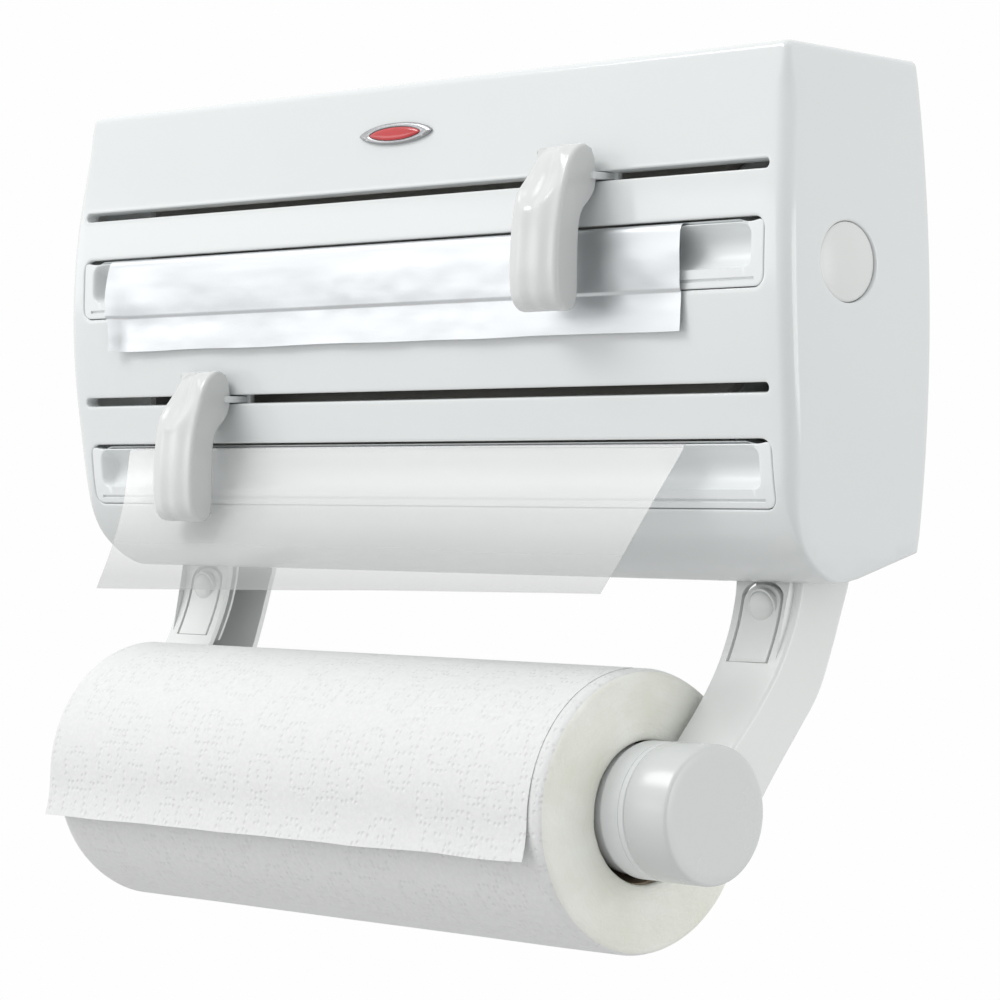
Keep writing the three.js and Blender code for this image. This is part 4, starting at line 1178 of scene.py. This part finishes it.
def latch_outline(grow=0.0, root_gap=0.0):
    """The latch's front view in (X, Z) from its middle: an arch on top, square corners at the root."""
    half, top, low = LATCH_HALF + grow, LATCH_TOP + grow, LATCH_ROOT - root_gap
    angles = np.linspace(0, TAU / 2, 25)
    arch = [(half * math.cos(a), top - LATCH_ARCH + LATCH_ARCH * math.sin(a)) for a in angles]
    return [(half, low)] + arch + [(-half, low)]


def latch_prism(sign, grow, root_gap):
    outline = latch_outline(grow, root_gap)
    return rings_mesh([[(sign * (LATCH_X + x), y, z) for x, z in outline] for y in (-62.0, -30.0)])


def apply_modifiers(obj):
    depsgraph = bpy.context.evaluated_depsgraph_get()
    result = bpy.data.meshes.new_from_object(obj.evaluated_get(depsgraph))
    obj.modifiers.clear()
    obj.data = result


def cut_out(obj, verts, faces):
    """Cuts a closed shape, in millimetres, out of an object, and mends what the cut leaves."""
    tool = new_object("tool", mesh_of("tool", verts, faces))
    modifier = obj.modifiers.new("cut", "BOOLEAN")
    modifier.object = tool
    modifier.operation = "DIFFERENCE"
    modifier.solver = "EXACT"
    apply_modifiers(obj)
    bpy.data.objects.remove(tool)
    bm = bmesh.new()
    bm.from_mesh(obj.data)
    bmesh.ops.remove_doubles(bm, verts=bm.verts, dist=2e-6)
    bmesh.ops.holes_fill(bm, edges=[e for e in bm.edges if e.is_boundary], sides=0)
    bmesh.ops.dissolve_degenerate(bm, edges=bm.edges, dist=1e-6)
    bmesh.ops.recalc_face_normals(bm, faces=bm.faces)
    bm.to_mesh(obj.data)
    bm.free()


def even_normals(obj):
    """Shades large flat faces as flat, where a cut leaves uneven faces around them."""
    obj.modifiers.new("even", "WEIGHTED_NORMAL").keep_sharp = True
    apply_modifiers(obj)


def arm_front_y(z):
    line = spline(ARM_FRONT, 5)
    return float(np.interp(-z, [-p[1] for p in line], [p[0] for p in line]))


def make_latch(name, sign):
    """The tongue between the slots, with its round domed button."""
    outline = spaced(latch_outline(), 1.6)
    place = lambda points, back: [(sign * (LATCH_X + x), arm_front_y(z) + back, z) for x, z in points]
    sections = ((0.2, 0.0), (0.08, 0.05), (0.0, 0.2), (0.0, 1.7))
    rings = [place(inset_loop(outline, inset), back) for inset, back in sections]
    verts, faces = rings_mesh(rings, caps=False)
    spots = np.arange(LATCH_ROOT + 1.5, LATCH_TOP, 1.75)
    grid = [(x, z) for x in np.arange(-7, 8, 1.75) for z in spots]
    for inset, back in (sections[0], sections[-1]):
        points, tris = filled_region([tuple(p) for p in inset_loop(outline, inset)], [], grid, (), 0.8)
        base = len(verts)
        verts += place(points, back)
        faces += [tuple(base + i for i in tri) for tri in tris]
    piece(f"arm_latch_{name}_tongue", verts, faces, f"{name}_latch", "arm_plastic", ARM_WHITE,
          [f"arm_latch_{name}"], 40)
    dome = [(5.1 * math.cos(TAU / 4 * k / 8), 0.45 + 2.1 * math.sin(TAU / 4 * k / 8)) for k in range(9)]
    profile = [(6.2, -1.2), (6.2, 0.3), (5.95, 0.55), (5.5, 0.5), (5.2, 0.1)] + dome
    tilt = Matrix.Rotation(0.17, 3, "X")
    built = []
    for radius, lift in profile:
        ring = []
        for j in range(48):
            a = TAU * j / 48
            p = tilt @ Vector((max(0.02, radius) * math.cos(a), -lift, max(0.02, radius) * math.sin(a)))
            p += LATCH_BUTTON
            ring.append((sign * p.x, p.y, p.z))
        built.append(ring)
    piece(f"arm_latch_{name}_button", *rings_mesh(built), f"{name}_latch", "arm_plastic", ARM_WHITE)


def make_head(name, sign):
    """A round cup, open to the inside, that closes the arm's lower end."""
    r = HEAD_RADIUS
    cup = [(141.3, r - 2), (141.3, r - 0.35), (141.6, r), (158.6, r), (159.3, r - 0.2), (159.8, r - 0.65),
           (159.98, r - 1.3), (160.0, r - 4), (160.0, 0.01), (157.6, r - 2.2), (141.3, r - 2.2),
           (141.3, r - 2)]
    sided_piece(f"arm_head_{name}_cap", sign, turned(cup, HEAD_Y, HEAD_Z, 120), f"{name}_arm",
                "head_plastic", HEAD_GREY, [f"arm_head_{name}"], 40)


def make_plug(name, sign):
    """The plug in the paper roll's end, with its tapered nose, shoulder and groove."""
    profile = [(120, 0.01), (120, 17.5), (121.2, 19.8), (123.4, 21.1), (126, 21.2), (130.5, 21.2),
               (130.6, 22.0), (130.9, 22.3), (138.4, 22.3), (138.6, 21.9), (138.8, 22.3), (140.7, 22.3),
               (141.0, 22.0), (141.0, 0.01)]
    sided_piece(f"roll_plug_{name}_hub", sign, turned(profile, HEAD_Y, HEAD_Z, 120), f"{name}_arm",
                "tray_plastic", TRAY_WHITE, [f"roll_plug_{name}"], 40)


# ---- back frame
def bevel_cad(node, material, width, body):
    """A finer copy of a CAD piece: merged faces, softened edges, moulded finish."""
    bm = bmesh.new()
    bm.from_mesh(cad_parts[node].data)
    bmesh.ops.remove_doubles(bm, verts=bm.verts, dist=1e-6)
    bmesh.ops.dissolve_limit(bm, angle_limit=math.radians(1), verts=bm.verts, edges=bm.edges)
    sharp = [e for e in bm.edges if len(e.link_faces) == 2 and e.calc_face_angle() > math.radians(50)]
    bmesh.ops.bevel(bm, geom=sharp, offset=width, segments=2, profile=0.5, affect="EDGES",
                    clamp_overlap=True)
    bmesh.ops.triangulate(bm, faces=bm.faces)
    mesh = bpy.data.meshes.new(node + "_moulded")
    bm.to_mesh(mesh)
    bm.free()
    obj = new_object(node + "_moulded", mesh)
    even_normals(finish_piece(obj, body, [material], [node], 30))


def make_hinge_pins():
    profile = [(134.4, 0.01), (134.4, 1.2), (134.7, 1.5), (151.3, 1.5), (151.6, 1.2), (151.6, 0.01)]
    for name, sign in SIDES:
        sided_piece(f"hinge_pin_{name}_rod", sign, turned(profile, PIVOT_Y, PIVOT_Z, 32), "frame", "steel",
                    STEEL, [f"hinge_pin_{name}"])


# ---- camera, floor and light
def make_camera():
    data = bpy.data.cameras.new("camera")
    data.sensor_width = 36
    data.lens = 137.4
    camera = new_object("camera", data)
    yaw, pitch = math.radians(47.5), math.radians(0.39)
    camera.location = Vector((1000.1, -936.1, -50.3)) * MM
    look = Vector((-math.sin(yaw) * math.cos(pitch), math.cos(yaw) * math.cos(pitch), -math.sin(pitch)))
    camera.rotation_euler = look.to_track_quat("-Z", "Y").to_euler()
    bpy.context.scene.camera = camera


def area_light(name, place, aim, size, energy):
    data = bpy.data.lights.new(name, "AREA")
    data.shape = "RECTANGLE"
    data.size, data.size_y = size
    data.energy = energy
    light = new_object(name, data)
    light.location = place
    light.rotation_euler = (Vector(aim) - Vector(place)).to_track_quat("-Z", "Y").to_euler()


def make_stage():
    mesh = bpy.data.meshes.new("floor")
    bm = bmesh.new()
    bmesh.ops.create_grid(bm, x_segments=1, y_segments=1, size=4)
    bm.to_mesh(mesh)
    bm.free()
    floor = new_object("floor", mesh)
    floor.location.z = -1.2
    pale = Surface("floor", (0.6, 0.6, 0.6), 0.85)
    pale.tint(pale.noise(3, 2), (0.58, 0.58, 0.58), (0.61, 0.61, 0.61))
    floor.data.materials.append(pale.material)


def make_world():
    """An even white studio, a little dimmer towards the front right, so that no side is lit flat."""
    world = bpy.data.worlds.new("studio")
    world.use_nodes = True
    nodes, links = world.node_tree.nodes, world.node_tree.links
    facing = nodes.new("ShaderNodeVectorMath")
    facing.operation = "DOT_PRODUCT"
    facing.inputs[1].default_value = (0.68, -0.73, 0.05)
    strength = nodes.new("ShaderNodeMapRange")
    for key, value in (("From Min", 0.1), ("From Max", 0.95), ("To Min", 0.99), ("To Max", 0.62)):
        strength.inputs[key].default_value = value
    links.new(nodes.new("ShaderNodeTexCoord").outputs["Generated"], facing.inputs[0])
    links.new(facing.outputs["Value"], strength.inputs["Value"])
    links.new(strength.outputs["Result"], nodes["Background"].inputs["Strength"])
    nodes["Background"].inputs["Color"].default_value = (1, 1, 1, 1)
    bpy.context.scene.world = world


def make_light():
    area_light("key", (-1.0, -1.5, 1.7), (0, 0, -0.05), (1.6, 0.8), 26)
    area_light("front_band", (-2.3, -2.1, 0.42), (0, -0.07, 0.03), (2.6, 0.5), 5)
    area_light("side_band", (2.5, 0.75, 0.08), (0.18, 0, 0), (1.5, 0.8), 10)


def main():
    scene = bpy.context.scene
    scene.view_settings.view_transform = "Standard"
    make_camera()
    make_stage()
    make_world()
    make_light()
    make_hood()
    make_hood_fittings()
    for which in ("upper", "lower"):
        make_tray(which)
        make_cutter_grip(which)
        make_cutter_slider(which)
        make_cutter_blade(which)
    make_badge()
    make_side_buttons()
    make_button_springs()
    make_spool("foil", FOIL, FOIL_ROLL_PAINTED_SHADE)
    make_spool("film", FILM, FILM_WOUND)
    make_foil_sheet()
    make_film_sheet()
    make_paper_roll()
    make_paper_tail()
    for name, sign in SIDES:
        make_arm(name, sign)
        make_latch(name, sign)
        make_head(name, sign)
        make_plug(name, sign)
    bevel_cad("back_frame", FRAME_WHITE, 0.0004, "frame")
    make_hinge_pins()


main()
